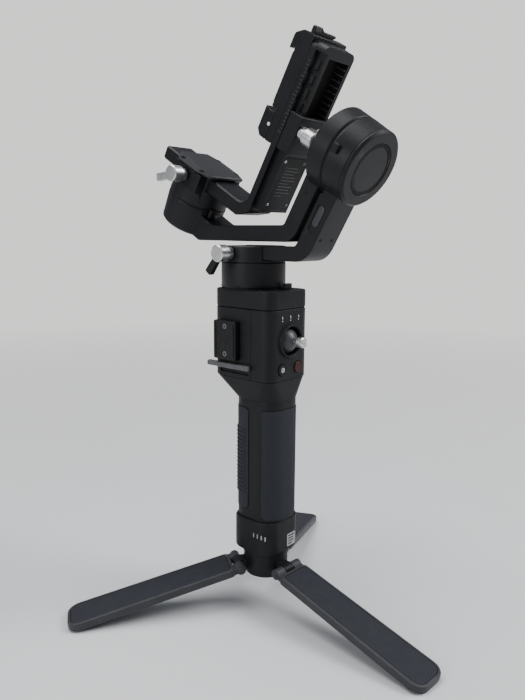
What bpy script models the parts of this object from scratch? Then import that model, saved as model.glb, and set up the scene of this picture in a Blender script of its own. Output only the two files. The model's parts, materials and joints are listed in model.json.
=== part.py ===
"""Handheld three-axis gimbal stabilizer on a folding mini tripod, folded to its locked carrying pose.

Metres, +Z up, +Y to the front. The origin is the centre of the tripod hub's flat underside. Each body has an
empty on its joint's axis, and its pieces are children of that empty.
"""

import math

import bmesh
import bpy
from mathutils import Matrix, Vector

GAP = 0.0003                    # between pieces that touch
WALL = 0.0022                   # moulded shells

# Tripod
HUB_RADIUS = 0.0170
HUB_HEIGHT = 0.0190
COLLAR_RADIUS = 0.0180
COLLAR_HEIGHT = 0.0030
LEG_COUNT = 3
FIRST_LEG_ANGLE = math.radians(146.5)
LEG_HINGE_RADIUS = 0.0225
LEG_HINGE_HEIGHT = 0.0085       # above the hub's underside
LEG_LENGTH = 0.1310
LEG_WIDTH = 0.030
LEG_THICKNESS = 0.0060
LEG_CORNER = 0.009
FEET_BELOW_HUB = 0.0237         # table below the hub's underside
KNUCKLE_RADIUS = 0.0040
TONGUE_WIDTH = 0.0090
PIN_RADIUS = 0.0021
PIN_LENGTH = 0.0220
PAD_INSET = 0.0022
PAD_THICKNESS = 0.0014

# Battery grip
BASE_HALF = 0.0200
BASE_CORNER = 0.0120
BASE_HEIGHT = 0.0255
SHAFT_HALF_X = 0.0182
SHAFT_HALF_Y = 0.0202
SHAFT_CORNER = 0.0140
SHAFT_HEIGHT = 0.0915
FUNNEL_HEIGHT = 0.0160
PAD_PROUD = 0.0004
PAD_DEPTH = 0.0010
REAR_PAD_EDGE = -0.0105
FRONT_PAD_EDGE = 0.0022
PAD_END = 0.0060                # from a pad to the end of the straight shaft
CELL_RADIUS = 0.0083
CELL_LENGTH = 0.0650
SCREW_RADIUS = 0.0031

# Control housing
HOUSING_HALF = 0.0222
HOUSING_BACK = -0.0216
HOUSING_FRONT = 0.0375
HOUSING_BACK_CORNER = 0.0085
HOUSING_FRONT_CORNER = 0.0120
HOUSING_HEIGHT = 0.0510
HOUSING_WALL = 0.0024
COVER_HEIGHT = 0.0130
SPLIT_Y = -0.0035
JOYSTICK_HEIGHT = 0.0283        # above the housing's floor
BUTTON_HEIGHT = 0.0083
BUTTON_SPREAD = 0.0088
BUTTON_RADIUS = 0.0042
BUTTON_TRAVEL = 0.0008
BEZEL_RADIUS = 0.0122
BEZEL_BORE = 0.0104
BEZEL_HEIGHT = 0.0014
DOME_RADIUS = 0.0098
STICK_LENGTH = 0.0180
STICK_CAP_RADIUS = 0.0038
RAIL_Y = 0.0184
RAIL_WIDTH = 0.0222
RAIL_LENGTH = 0.0285
RAIL_THICKNESS = 0.0046
RAIL_HEIGHT = 0.0275            # its middle above the housing's floor
RAIL_SCREW_SPREAD = 0.0202
LATCH_HEIGHT = 0.0088
LATCH_LENGTH = 0.0390
TRIGGER_WIDTH = 0.0120
TRIGGER_HEIGHT = 0.0230
TRIGGER_LEVEL = 0.0270
TRIGGER_REACH = 0.0065

# Pan motor
PAN_Y = 0.0143
DRUM_GAP = 0.0009
PAN_RADIUS = 0.0237
PAN_DRUM_HEIGHT = 0.0182
MOTOR_WALL = 0.0020
CLAMP_HEIGHT = 0.0115
CLAMP_FLOOR = 0.0012
PAN_LOCK_GAP = 0.0031           # from the drum to the middle of the lock
SHAFT_RADIUS = 0.0040
BEARING_RADIUS = 0.0080
BEARING_WIDTH = 0.0060
STATOR_TUBE = 0.0105
STATOR_LIP = 0.0030             # between a stator core and its drum's wall

# Arms
SLANT = math.radians(30)        # the roll axis rises to the front by this angle
PAN_ARM_WIDTH = 0.0250
PAN_ARM_THICKNESS = 0.0098
PAN_ARM_TAIL = 0.0200
ROLL_BACK = 0.0831              # roll axis behind the pan axis, at the motor's seam
ROLL_RISE = 0.0620              # and above the middle of the pan arm
PAN_POST_OUTER = -0.0114        # slanted posts, from the roll motor's seam
PAN_POST_INNER = 0.0017
ROLL_ARM_WIDTH = 0.0250
ROLL_POST_OUTER = 0.0053
ROLL_POST_INNER = 0.0179
ROLL_ARM_LOW = 0.0082           # above the middle of the pan arm
ROLL_ARM_THICKNESS = 0.0114

# Roll motor
ROLL_CAP_RADIUS = 0.0256
ROLL_SEAM_RADIUS = 0.0268
ROLL_FRONT_RADIUS = 0.0276
ROLL_OUTER_LENGTH = 0.0178
ROLL_INNER_LENGTH = 0.0142
ROLL_SWEEP_GAP = 0.0012          # between the turning drum and the pan arm's post
ROLL_CAP_THICKNESS = 0.0026
SEAM_HALF = 0.0005

# Tilt motor
TILT_REACH = 0.1119             # tilt axis in front of the roll motor's seam, along the roll axis
TILT_DROP = 0.0891              # tilt motor's seam below the roll axis
TILT_RADIUS = 0.0232
TILT_BOTTOM_RADIUS = 0.0219
TILT_TOP_RADIUS = 0.0216
TILT_LOWER_LENGTH = 0.0229
TILT_UPPER_LENGTH = 0.0132
TILT_CLAMP_HEIGHT = 0.0112
LOCK_SHELF = -0.0045            # shelf behind the tilt drum, for its lock, from the seam
TOP_PLATE_THICKNESS = 0.0030
TOP_PLATE_HALF_WIDTH = 0.0225
TOP_PLATE_HALF_LENGTH = 0.0210
TOP_SCREW_X = 0.0182
TOP_SCREW_Y = 0.0111
TOP_SCREW_RADIUS = 0.0021

# Camera arm, with an upright leg in the tilt clamp and a long leg that carries the camera plate
UPRIGHT_WIDTH = 0.0250
UPRIGHT_THICKNESS = 0.0104
UPRIGHT_FRONT = 0.0390          # end of the upright leg in front of the tilt axis
LONG_LEG_BACK = 0.0568          # long leg's front face behind the tilt axis
RIM_THICKNESS = 0.0050
BODY_THICKNESS = 0.0075
LONG_LEG_WIDTH = 0.0354
BODY_INSET = 0.0040
LONG_LEG_TOP = 0.1220           # above the middle of the upright leg
POCKET_LOW = 0.0580
POCKET_HIGH = 0.1150
POCKET_WALL = 0.0030
SLOT_COUNT = 4
COVER_LOW = 0.0100
COVER_HIGH = 0.0490
COVER_THICKNESS = 0.0012

# Carriage and camera plate
CARRIAGE_LOW = 0.0520
CARRIAGE_LENGTH = 0.0258
CARRIAGE_WALL = 0.0040
PLATE_LENGTH = 0.0720
PLATE_THICKNESS = 0.0112
LIP_HEIGHT = 0.0046
LIP_WIDTH = 0.0120
LIP_LEAN = 0.0016
LAND_HEIGHT = 0.0004
LAND_MARGIN = 0.0030
JAW_LENGTH = 0.0214
JAW_STEP = 0.0050
LEVER_REACH = 0.0200

# Clamp levers
COLLAR = (0.0044, 0.0045)
KNOB = (0.0060, 0.0088)
SHANK_RADIUS = 0.0024
PADDLE_LENGTH = 0.0180
PADDLE_WIDTH = 0.0060
PADDLE_THICKNESS = 0.0036

# Heights above the hub's underside, worked up the grip
BASE_LOW = HUB_HEIGHT + COLLAR_HEIGHT + GAP
SHAFT_LOW = BASE_LOW + BASE_HEIGHT + GAP
SHAFT_HIGH = SHAFT_LOW + SHAFT_HEIGHT
GRIP_TOP = SHAFT_HIGH + FUNNEL_HEIGHT
HOUSING_LOW = GRIP_TOP + GAP
COVER_LOW_Z = HOUSING_LOW + HOUSING_HEIGHT + GAP
HOUSING_TOP = COVER_LOW_Z + COVER_HEIGHT
DRUM_LOW = HOUSING_TOP + DRUM_GAP
CLAMP_LOW = PAN_DRUM_HEIGHT + GAP
PAN_ARM_LEVEL = CLAMP_LOW + CLAMP_FLOOR + GAP + PAN_ARM_THICKNESS / 2

COLOURS = {                     # colour, roughness, metallic
    "charcoal": ((0.022, 0.023, 0.026), 0.55, 0.0),
    "anodised": ((0.030, 0.031, 0.034), 0.40, 0.6),
    "rubber": ((0.040, 0.043, 0.050), 0.80, 0.0),
    "leg_grey": ((0.060, 0.060, 0.064), 0.50, 0.0),
    "silver": ((0.62, 0.62, 0.62), 0.25, 1.0),
    "steel": ((0.45, 0.45, 0.46), 0.30, 1.0),
    "copper": ((0.60, 0.28, 0.15), 0.40, 0.8),
    "board": ((0.02, 0.10, 0.05), 0.50, 0.0),
    "cell": ((0.15, 0.25, 0.45), 0.45, 0.0),
    "red": ((0.22, 0.020, 0.018), 0.45, 0.0),
}


# --- Scene, frames and looks ---

def clear_scene():
    for obj in list(bpy.data.objects):
        bpy.data.objects.remove(obj)


def new_collection(name):
    collection = bpy.data.collections.new(name)
    bpy.context.scene.collection.children.link(collection)
    return collection


def make_looks():
    looks = {}
    for name, (colour, roughness, metallic) in COLOURS.items():
        look = bpy.data.materials.new(name)
        look.use_nodes = True
        shader = look.node_tree.nodes["Principled BSDF"]
        shader.inputs["Base Color"].default_value = (*colour, 1)
        shader.inputs["Roughness"].default_value = roughness
        shader.inputs["Metallic"].default_value = metallic
        looks[name] = look
    return looks


def frame(name, parent=None, at=(0, 0, 0), turn=(0, 0, 0)):
    """An empty that carries a body, at its place in its parent's frame."""
    empty = bpy.data.objects.new(name, None)
    PARTS.objects.link(empty)
    empty.parent = parent
    empty.location = at
    empty.rotation_euler = turn
    empty.empty_display_size = 0.01
    return empty


def place(name, bm, look, parent, at=(0, 0, 0), turn=(0, 0, 0)):
    """Makes an object of a bmesh, in its parent's frame."""
    if bm.calc_volume(signed=True) < 0:
        bmesh.ops.reverse_faces(bm, faces=bm.faces)
    mesh = bpy.data.meshes.new(name)
    bm.to_mesh(mesh)
    bm.free()
    mesh.materials.append(LOOKS[look])
    mesh.shade_smooth()
    mesh.set_sharp_from_angle(angle=math.radians(32))
    obj = bpy.data.objects.new(name, mesh)
    PARTS.objects.link(obj)
    obj.parent = parent
    obj.location = at
    obj.rotation_euler = turn
    return obj


# --- Shapes, each a bmesh ---

def bar(start, end, radius, end_radius=None, segments=40):
    """A round bar from start to end."""
    start, end = Vector(start), Vector(end)
    direction = end - start
    matrix = Matrix.Translation((start + end) / 2) @ direction.to_track_quat("Z", "Y").to_matrix().to_4x4()
    bm = bmesh.new()
    bmesh.ops.create_cone(
        bm, cap_ends=True, segments=segments, radius1=radius,
        radius2=radius if end_radius is None else end_radius, depth=direction.length, matrix=matrix)
    return bm


def box(low, high):
    low, high = Vector(low), Vector(high)
    bm = bmesh.new()
    size = Matrix.Diagonal((*(high - low), 1))
    bmesh.ops.create_cube(bm, size=1, matrix=Matrix.Translation((low + high) / 2) @ size)
    return bm


def rounded(corners, steps=5):
    """The points of an outline, given as (x, y, radius) corners in anticlockwise order."""
    points = []
    count = len(corners)
    for i, (x, y, radius) in enumerate(corners):
        corner = Vector((x, y))
        if radius == 0:
            points.append(corner)
            continue
        before = (Vector(corners[i - 1][:2]) - corner).normalized()
        after = (Vector(corners[(i + 1) % count][:2]) - corner).normalized()
        half = before.angle(after) / 2
        centre = corner + (before + after).normalized() * radius / math.sin(half)
        first = (corner + before * radius / math.tan(half) - centre).normalized()
        last = (corner + after * radius / math.tan(half) - centre).normalized()
        for step in range(steps + 1):
            points.append(centre + first.slerp(last, step / steps) * radius)
    return points


def rounded_box(half_x, low_y, high_y, low_radius, high_radius, grow=0.0, steps=5):
    """A rectangle's outline, centred in x, with its two low and its two high corners rounded."""
    x, low, high = half_x + grow, low_y - grow, high_y + grow
    return rounded([(x, low, low_radius + grow), (x, high, high_radius + grow),
                    (-x, high, high_radius + grow), (-x, low, low_radius + grow)], steps)


def prism(points, low, high, along="Z"):
    """A flat outline filled and given thickness. Its plane is XY, YZ or XZ, and along is the third axis."""
    curve = bpy.data.curves.new("outline", "CURVE")
    curve.dimensions = "2D"
    curve.fill_mode = "BOTH"
    curve.extrude = (high - low) / 2
    spline = curve.splines.new("POLY")
    spline.points.add(len(points) - 1)
    for point, (x, y) in zip(spline.points, points):
        point.co = (x, y, 0, 1)
    spline.use_cyclic_u = True
    holder = bpy.data.objects.new("outline", curve)
    bpy.context.scene.collection.objects.link(holder)
    graph = bpy.context.evaluated_depsgraph_get()
    mesh = bpy.data.meshes.new_from_object(holder.evaluated_get(graph))
    bpy.data.objects.remove(holder)
    bpy.data.curves.remove(curve)
    bm = bmesh.new()
    bm.from_mesh(mesh)
    bpy.data.meshes.remove(mesh)
    bmesh.ops.remove_doubles(bm, verts=bm.verts, dist=1e-6)
    bmesh.ops.dissolve_limit(bm, angle_limit=math.radians(0.5), verts=bm.verts, edges=bm.edges)
    middle = (low + high) / 2
    turns = {
        "Z": Matrix.Translation((0, 0, middle)),
        "X": Matrix(((0, 0, 1, middle), (1, 0, 0, 0), (0, 1, 0, 0), (0, 0, 0, 1))),
        "Y": Matrix(((1, 0, 0, 0), (0, 0, -1, middle), (0, 1, 0, 0), (0, 0, 0, 1))),
    }
    bm.transform(turns[along])
    return bm


def loft(low_points, low_z, high_points, high_z):
    """A solid between two outlines with equally many points."""
    bm = bmesh.new()
    rings = []
    for points, z in ((low_points, low_z), (high_points, high_z)):
        verts = [bm.verts.new((x, y, z)) for x, y in points]
        rings.append(bm.faces.new(verts))
    edges = [edge for face in rings for edge in face.edges]
    bmesh.ops.bridge_loops(bm, edges=edges)
    bmesh.ops.recalc_face_normals(bm, faces=bm.faces)
    return bm


def turned(name, profile, look, parent, at=(0, 0, 0), turn=(0, 0, 0), segments=40, closed=False):
    """A profile of (radius, height) points, from the top down its outer side, turned round Z."""
    mesh = bpy.data.meshes.new(name)
    count = len(profile)
    edges = [(i, i + 1) for i in range(count - 1)]
    if closed:
        edges.append((count - 1, 0))
    mesh.from_pydata([(radius, 0, height) for radius, height in profile], edges, [])
    mesh.materials.append(LOOKS[look])
    obj = bpy.data.objects.new(name, mesh)
    PARTS.objects.link(obj)
    obj.parent = parent
    obj.location = at
    obj.rotation_euler = turn
    screw = obj.modifiers.new("Turn", "SCREW")
    screw.steps = segments
    screw.render_steps = segments
    screw.use_merge_vertices = True
    screw.merge_threshold = 0.00001
    screw.use_smooth_shade = True
    return obj


ALONG_Y = (math.radians(-90), 0, 0)
ALONG_X = (0, math.radians(90), 0)


# --- Finishing ---

def soften(obj, width, segments=1):
    """Bevels the sharp edges."""
    bevel = obj.modifiers.new("Edges", "BEVEL")
    bevel.width = width
    bevel.segments = segments
    bevel.limit_method = "ANGLE"
    bevel.angle_limit = math.radians(40)
    return obj


def as_tool(obj):
    PARTS.objects.unlink(obj)
    TOOLS.objects.link(obj)
    obj.hide_render = True
    obj.display_type = "WIRE"
    return obj


def combine(obj, other, operation):
    boolean = obj.modifiers.new(operation.title(), "BOOLEAN")
    boolean.operation = operation
    boolean.object = as_tool(other)
    return obj


def cut(obj, bm, at=(0, 0, 0), turn=(0, 0, 0)):
    return combine(obj, place(obj.name + "_cut", bm, "charcoal", obj.parent, at, turn), "DIFFERENCE")


def add(obj, bm, at=(0, 0, 0), turn=(0, 0, 0)):
    return combine(obj, place(obj.name + "_add", bm, "charcoal", obj.parent, at, turn), "UNION")


def keep(obj, bm, at=(0, 0, 0), turn=(0, 0, 0)):
    return combine(obj, place(obj.name + "_keep", bm, "charcoal", obj.parent, at, turn), "INTERSECT")


def screw_head(name, parent, at, towards, radius, length):
    """A machine screw, its head's face at a point and its shank running the other way."""
    at, towards = Vector(at), Vector(towards).normalized()
    head_depth = radius * 0.7
    screw = place(name, bar(at - towards * head_depth, at, radius, segments=18), "steel", parent)
    add(screw, bar(at - towards * length, at - towards * head_depth * 0.5, radius * 0.55, segments=12))
    return cut(screw, bar(at - towards * head_depth * 0.5, at + towards * head_depth, radius * 0.5, segments=6))


def clamp_lever(name, parent, paddle, shank=0.0080):
    """A knob on the +X end of a shank, with a paddle along a direction in the YZ plane; the axis is X."""
    collar_radius, collar_length = COLLAR
    knob_radius, knob_length = KNOB
    profile = [
        (0, collar_length + knob_length), (knob_radius - 0.0008, collar_length + knob_length),
        (knob_radius, collar_length + knob_length - 0.0008), (knob_radius, collar_length + 0.0006),
        (knob_radius - 0.0006, collar_length), (collar_radius, collar_length), (collar_radius, 0),
        (SHANK_RADIUS, 0), (SHANK_RADIUS, -shank), (0, -shank)]
    lever = turned(name, profile, "silver", parent, turn=ALONG_X, segments=28)
    y, z = paddle
    outline = rounded([(PADDLE_LENGTH, -PADDLE_WIDTH / 2, 0.0012), (PADDLE_LENGTH, PADDLE_WIDTH / 2, 0.0012),
                       (0.0010, PADDLE_WIDTH * 0.36, 0), (0.0010, -PADDLE_WIDTH * 0.36, 0)], 3)
    angle = math.atan2(z, y)
    turned_outline = [(a * math.cos(angle) - b * math.sin(angle), a * math.sin(angle) + b * math.cos(angle))
                      for a, b in outline]
    middle = collar_length + knob_length * 0.55
    blade = prism(turned_outline, middle - PADDLE_THICKNESS / 2, middle + PADDLE_THICKNESS / 2, "X")
    return add(lever, blade)


# --- Tripod ---

def leg_slope():
    """How far a leg slopes down when its tip's lower edge is on the table."""
    half = LEG_THICKNESS / 2
    reach = math.hypot(LEG_LENGTH, half)
    drop = LEG_HINGE_HEIGHT + FEET_BELOW_HUB
    return math.asin(drop / reach) - math.atan2(half, LEG_LENGTH)


def tripod_hub(handle):
    top = HUB_HEIGHT + COLLAR_HEIGHT
    hub = turned("tripod_hub", [
        (0, top), (COLLAR_RADIUS, top), (COLLAR_RADIUS, HUB_HEIGHT), (HUB_RADIUS, HUB_HEIGHT),
        (HUB_RADIUS, 0.0040), (HUB_RADIUS - 0.0012, 0.0012), (HUB_RADIUS - 0.0040, 0), (0, 0)],
        "charcoal", handle, segments=44)
    for i in range(LEG_COUNT):
        angle = FIRST_LEG_ANGLE + i * math.tau / LEG_COUNT
        turn = (0, 0, angle)
        half = TONGUE_WIDTH / 2
        add(hub, box((HUB_RADIUS - 0.004, -half, LEG_HINGE_HEIGHT - KNUCKLE_RADIUS),
                     (LEG_HINGE_RADIUS, half, LEG_HINGE_HEIGHT + KNUCKLE_RADIUS)), turn=turn)
        add(hub, bar((LEG_HINGE_RADIUS, -half, LEG_HINGE_HEIGHT), (LEG_HINGE_RADIUS, half, LEG_HINGE_HEIGHT),
                     KNUCKLE_RADIUS, segments=24), turn=turn)
        add(hub, bar((LEG_HINGE_RADIUS, -PIN_LENGTH / 2, LEG_HINGE_HEIGHT),
                     (LEG_HINGE_RADIUS, PIN_LENGTH / 2, LEG_HINGE_HEIGHT), PIN_RADIUS, segments=16), turn=turn)
    screw_top = BASE_LOW + 0.0080
    screw = place("tripod_screw", bar((0, 0, top - 0.0070), (0, 0, screw_top), SCREW_RADIUS, segments=24),
                  "steel", handle)
    cut(hub, bar((0, 0, top - 0.0070 - GAP), (0, 0, top + 0.001), SCREW_RADIUS + GAP, segments=24))
    return screw


def leg_outline(inset):
    near, far = KNUCKLE_RADIUS + 0.0006 + inset, LEG_LENGTH - inset
    half = LEG_WIDTH / 2 - inset
    root = half - 0.0008
    return rounded([(near, -root, 0.004), (far, -half, LEG_CORNER - inset), (far, half, LEG_CORNER - inset),
                    (near, root, 0.004)])


def leg(number, handle):
    angle = FIRST_LEG_ANGLE + (number - 1) * math.tau / LEG_COUNT
    spot = (LEG_HINGE_RADIUS * math.cos(angle), LEG_HINGE_RADIUS * math.sin(angle), LEG_HINGE_HEIGHT)
    hinge = frame(f"leg_{number}_hinge", handle, spot, (0, leg_slope(), angle))
    half = LEG_THICKNESS / 2
    panel = place(f"leg_{number}", prism(leg_outline(0), -half, half), "leg_grey", hinge)
    soften(panel, 0.0012, 2)
    knuckle_half = LEG_WIDTH / 2 - 0.0022
    add(panel, bar((0, -knuckle_half, 0), (0, knuckle_half, 0), KNUCKLE_RADIUS - 0.0002, segments=24))
    add(panel, box((0, -knuckle_half, -half + 0.0008), (0.0090, knuckle_half, half - 0.0008)))
    slot = TONGUE_WIDTH / 2 + GAP
    cut(panel, box((-0.006, -slot, -0.006), (KNUCKLE_RADIUS + 0.0006, slot, 0.006)))
    cut(panel, bar((0, -PIN_LENGTH / 2 - GAP, 0), (0, PIN_LENGTH / 2 + GAP, 0), PIN_RADIUS + GAP, segments=16))
    cut(panel, prism(leg_outline(PAD_INSET), half - PAD_THICKNESS - GAP, half + 0.002))
    pad = place(f"leg_{number}_pad", prism(leg_outline(PAD_INSET + GAP), half - PAD_THICKNESS, half),
                "rubber", hinge)
    return soften(pad, 0.0004)


# --- Battery grip ---

def base_outline(grow=0.0):
    return rounded_box(BASE_HALF, -BASE_HALF, BASE_HALF, BASE_CORNER, BASE_CORNER, grow)


def shaft_outline(grow=0.0):
    return rounded_box(SHAFT_HALF_X, -SHAFT_HALF_Y, SHAFT_HALF_Y, SHAFT_CORNER, SHAFT_CORNER, grow)


def housing_outline(grow=0.0):
    return rounded_box(HOUSING_HALF, HOUSING_BACK, HOUSING_FRONT, HOUSING_BACK_CORNER,
                       HOUSING_FRONT_CORNER, grow)


def grip_base(handle):
    base = place("grip_base", prism(base_outline(), BASE_LOW, SHAFT_LOW - GAP), "charcoal", handle)
    soften(base, 0.0014, 2)
    cut(base, prism(shaft_outline(-WALL), BASE_LOW + WALL, SHAFT_LOW))
    return cut(base, bar((0, 0, BASE_LOW - 0.001), (0, 0, BASE_LOW + WALL + 0.001), SCREW_RADIUS + GAP,
                         segments=24))


def grip_pad(name, low, high, window, handle, grip, spare):
    """A rubber panel wrapped round part of the grip, let into the shell."""
    pad = place(name, prism(shaft_outline(PAD_PROUD), low, high), "rubber", handle)
    cut(pad, prism(shaft_outline(-PAD_DEPTH), low - 0.001, high + 0.001))
    keep(pad, prism(window(0), -0.03, 0.03, "X"))
    recess = place(name + "_recess", prism(shaft_outline(PAD_PROUD + 0.001), low - GAP, high + GAP),
                   "charcoal", handle)
    cut(recess, prism(shaft_outline(-PAD_DEPTH - GAP), low - 0.002, high + 0.002))
    keep(recess, prism(window(spare), -0.03, 0.03, "X"))
    combine(grip, recess, "DIFFERENCE")
    return pad


def grip_shell(handle):
    shell = place("grip_shell", prism(shaft_outline(), SHAFT_LOW, SHAFT_HIGH + 0.0004), "charcoal", handle)
    add(shell, loft(shaft_outline(-0.0002), SHAFT_HIGH, housing_outline(-0.0006), GRIP_TOP))
    cut(shell, prism(shaft_outline(-WALL), SHAFT_LOW - 0.001, GRIP_TOP + 0.001))
    low, high = SHAFT_LOW + 0.0015, SHAFT_HIGH - PAD_END

    def rear_window(grow):
        return rounded([(-0.03, low - grow, 0), (REAR_PAD_EDGE + grow, low - grow, 0.005),
                        (REAR_PAD_EDGE + grow, high + grow, 0.002), (-0.03, high + grow, 0)])

    def front_window(grow):
        lift = 0.0060
        return rounded([(FRONT_PAD_EDGE - grow, low + lift - grow, 0.003), (0.03, low + lift - grow, 0),
                        (0.03, high + grow, 0), (FRONT_PAD_EDGE - grow, high + grow, 0.003)])

    grip_pad("rear_grip_pad", low - 0.001, high + 0.001, rear_window, handle, shell, GAP)
    grip_pad("front_grip_pad", low, high + 0.001, front_window, handle, shell, GAP)
    for number, side in ((1, -1), (2, 1)):
        y = side * (CELL_RADIUS + GAP)
        start = SHAFT_LOW + 0.004
        place(f"battery_cell_{number}", bar((0, y, start), (0, y, start + CELL_LENGTH), CELL_RADIUS,
                                            segments=32), "cell", handle)
    return shell


# --- Control housing ---

def housing_half(name, handle, front):
    """One of the two shells of the control housing, split across its depth."""
    top = HOUSING_LOW + HOUSING_HEIGHT
    shell = place(name, prism(housing_outline(), HOUSING_LOW, top), "charcoal", handle)
    soften(shell, 0.0005)
    cut(shell, prism(housing_outline(-HOUSING_WALL), HOUSING_LOW + HOUSING_WALL, top + 0.001))
    cut(shell, bar((0, 0, HOUSING_LOW - 0.001), (0, 0, HOUSING_LOW + HOUSING_WALL + 0.001), 0.0080,
                   segments=32))
    far = 0.06
    low, high = (-far, SPLIT_Y + GAP / 2) if front else (SPLIT_Y - GAP / 2, far)
    return cut(shell, box((-far, low, HOUSING_LOW - 0.01), (far, high, top + 0.01)))


def housing_rear(handle):
    shell = housing_half("housing_rear", handle, False)
    face = HOUSING_BACK - 0.001
    inside = HOUSING_BACK + HOUSING_WALL + 0.001
    level = HOUSING_LOW + JOYSTICK_HEIGHT
    cut(shell, bar((0, face, level), (0, inside, level), BEZEL_BORE, segments=40))
    for x in (-BUTTON_SPREAD, BUTTON_SPREAD):
        z = HOUSING_LOW + BUTTON_HEIGHT
        cut(shell, bar((x, face, z), (x, inside, z), BUTTON_RADIUS + GAP, segments=28))
    return shell


def housing_front(handle):
    shell = housing_half("housing_front", handle, True)
    side = -HOUSING_HALF
    low = HOUSING_LOW + LATCH_HEIGHT - 0.0056
    cut(shell, box((side - 0.001, SPLIT_Y + 0.002, low), (side + HOUSING_WALL - 0.0010, 0.027, low + 0.0046)))
    for z in rail_screw_heights():
        cut(shell, bar((side - 0.001, RAIL_Y, z), (side + 0.006, RAIL_Y, z), 0.0015, segments=16))
    level = HOUSING_LOW + TRIGGER_LEVEL
    half = TRIGGER_WIDTH / 2 + GAP * 2
    cut(shell, box((-half, HOUSING_FRONT - 0.006, level - TRIGGER_HEIGHT / 2 - GAP),
                   (half, HOUSING_FRONT + 0.006, level + TRIGGER_HEIGHT / 2 + GAP)))
    z = HOUSING_LOW + 0.032
    cut(shell, bar((-side - 0.006, 0.012, z), (-side + 0.001, 0.012, z), 0.0036 + GAP, segments=28))
    port = rounded([(0.0055, -0.0016, 0.0014), (0.0145, -0.0016, 0.0014), (0.0145, 0.0016, 0.0014),
                    (0.0055, 0.0016, 0.0014)], 3)
    return cut(shell, prism(port, -side - 0.006, -side + 0.001, "X"), at=(0, 0.002, HOUSING_LOW + 0.014))


def top_cover(handle):
    cover = place("housing_top_cover", prism(housing_outline(), COVER_LOW_Z, HOUSING_TOP), "charcoal", handle)
    soften(cover, 0.0010, 2)
    cut(cover, prism(housing_outline(-HOUSING_WALL), COVER_LOW_Z - 0.001, HOUSING_TOP - 0.0028))
    return cut(cover, bar((0, PAN_Y, HOUSING_TOP - 0.004), (0, PAN_Y, HOUSING_TOP + 0.001), 0.0055,
                          segments=32))


def rail_screw_heights():
    middle = HOUSING_LOW + RAIL_HEIGHT
    return middle - RAIL_SCREW_SPREAD / 2, middle + RAIL_SCREW_SPREAD / 2


def accessory_rail(handle):
    """A flat accessory block on the left side, held by two screws."""
    side = -HOUSING_HALF - GAP
    middle = HOUSING_LOW + RAIL_HEIGHT
    low, high = middle - RAIL_LENGTH / 2, middle + RAIL_LENGTH / 2
    near, far = RAIL_Y - RAIL_WIDTH / 2, RAIL_Y + RAIL_WIDTH / 2
    outline = rounded([(near, low, 0.0015), (far, low, 0.0015), (far, high, 0.0015), (near, high, 0.0015)], 3)
    rail = place("accessory_rail", prism(outline, side - RAIL_THICKNESS, side, "X"), "anodised", handle)
    soften(rail, 0.0006)
    face = side - RAIL_THICKNESS
    for number, z in enumerate(rail_screw_heights(), 1):
        cut(rail, bar((face - 0.001, RAIL_Y, z), (face + 0.0022, RAIL_Y, z), 0.0021 + GAP, segments=20))
        cut(rail, bar((face - 0.001, RAIL_Y, z), (side + 0.001, RAIL_Y, z), 0.0015, segments=16))
        screw_head(f"rail_screw_{number}", handle, (face + 0.0004, RAIL_Y, z), (-1, 0, 0), 0.0021, 0.0060)
    return rail


def joystick(handle):
    level = HOUSING_LOW + JOYSTICK_HEIGHT
    bezel = HOUSING_BACK - GAP
    turned("joystick_bezel", [
        (BEZEL_RADIUS - 0.0006, BEZEL_HEIGHT), (BEZEL_RADIUS, BEZEL_HEIGHT - 0.0006), (BEZEL_RADIUS, 0),
        (BEZEL_BORE, 0), (BEZEL_BORE, BEZEL_HEIGHT - 0.0004), (BEZEL_BORE + 0.0006, BEZEL_HEIGHT)],
        "charcoal", handle, (0, bezel, level), (math.radians(90), 0, 0), 40, closed=True)
    pivot = frame("joystick_pitch", handle, (0, HOUSING_BACK + 0.0056, level))
    yoke = place("joystick_yoke", box((-0.0060, 0.0014, -0.0038), (0.0060, 0.0042, 0.0038)), "steel", pivot)
    cut(yoke, box((-0.0040, 0, -0.0022), (0.0040, 0.006, 0.0022)))
    yaw = frame("joystick_yaw", pivot)
    steps = 4
    dome = [(DOME_RADIUS * math.sin(math.radians(90 * (i + 1) / (steps + 1))),
             DOME_RADIUS * math.cos(math.radians(90 * (i + 1) / (steps + 1)))) for i in range(steps)]
    tip = STICK_LENGTH
    stick = [
        (0, tip), (STICK_CAP_RADIUS - 0.0008, tip), (STICK_CAP_RADIUS, tip - 0.0008),
        (STICK_CAP_RADIUS, tip - 0.0046), (STICK_CAP_RADIUS - 0.0006, tip - 0.0052), (0.0026, tip - 0.0056),
        (0.0026, DOME_RADIUS + GAP), (0.0014, DOME_RADIUS + GAP), (0.0014, -0.0060), (0, -0.0060)]
    turned("joystick_cap", stick, "silver", yaw, turn=(math.radians(90), 0, 0), segments=24)
    boot = [(0.0014 + GAP, DOME_RADIUS)] + dome + [(DOME_RADIUS, 0), (DOME_RADIUS - 0.0012, 0)]
    inner = [(radius * 0.86, height * 0.86) for radius, height in reversed(dome)]
    boot += inner + [(0.0014 + GAP, DOME_RADIUS * 0.86)]
    return turned("joystick_boot", boot, "rubber", yaw, turn=(math.radians(90), 0, 0), segments=24, closed=True)


def push_button(name, handle, x, look):
    z = HOUSING_LOW + BUTTON_HEIGHT
    guide = frame(name + "_guide", handle, (x, HOUSING_BACK, z))
    button = place(name, bar((0, -0.0009, 0), (0, 0.0040, 0), BUTTON_RADIUS, segments=28), look, guide)
    return soften(button, 0.0004)


def power_button(handle):
    guide = frame("power_button_guide", handle, (HOUSING_HALF, 0.012, HOUSING_LOW + 0.032))
    button = place("power_button", bar((0.0007, 0, 0), (-0.0040, 0, 0), 0.0036, segments=28), "charcoal", guide)
    return soften(button, 0.0004)


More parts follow.
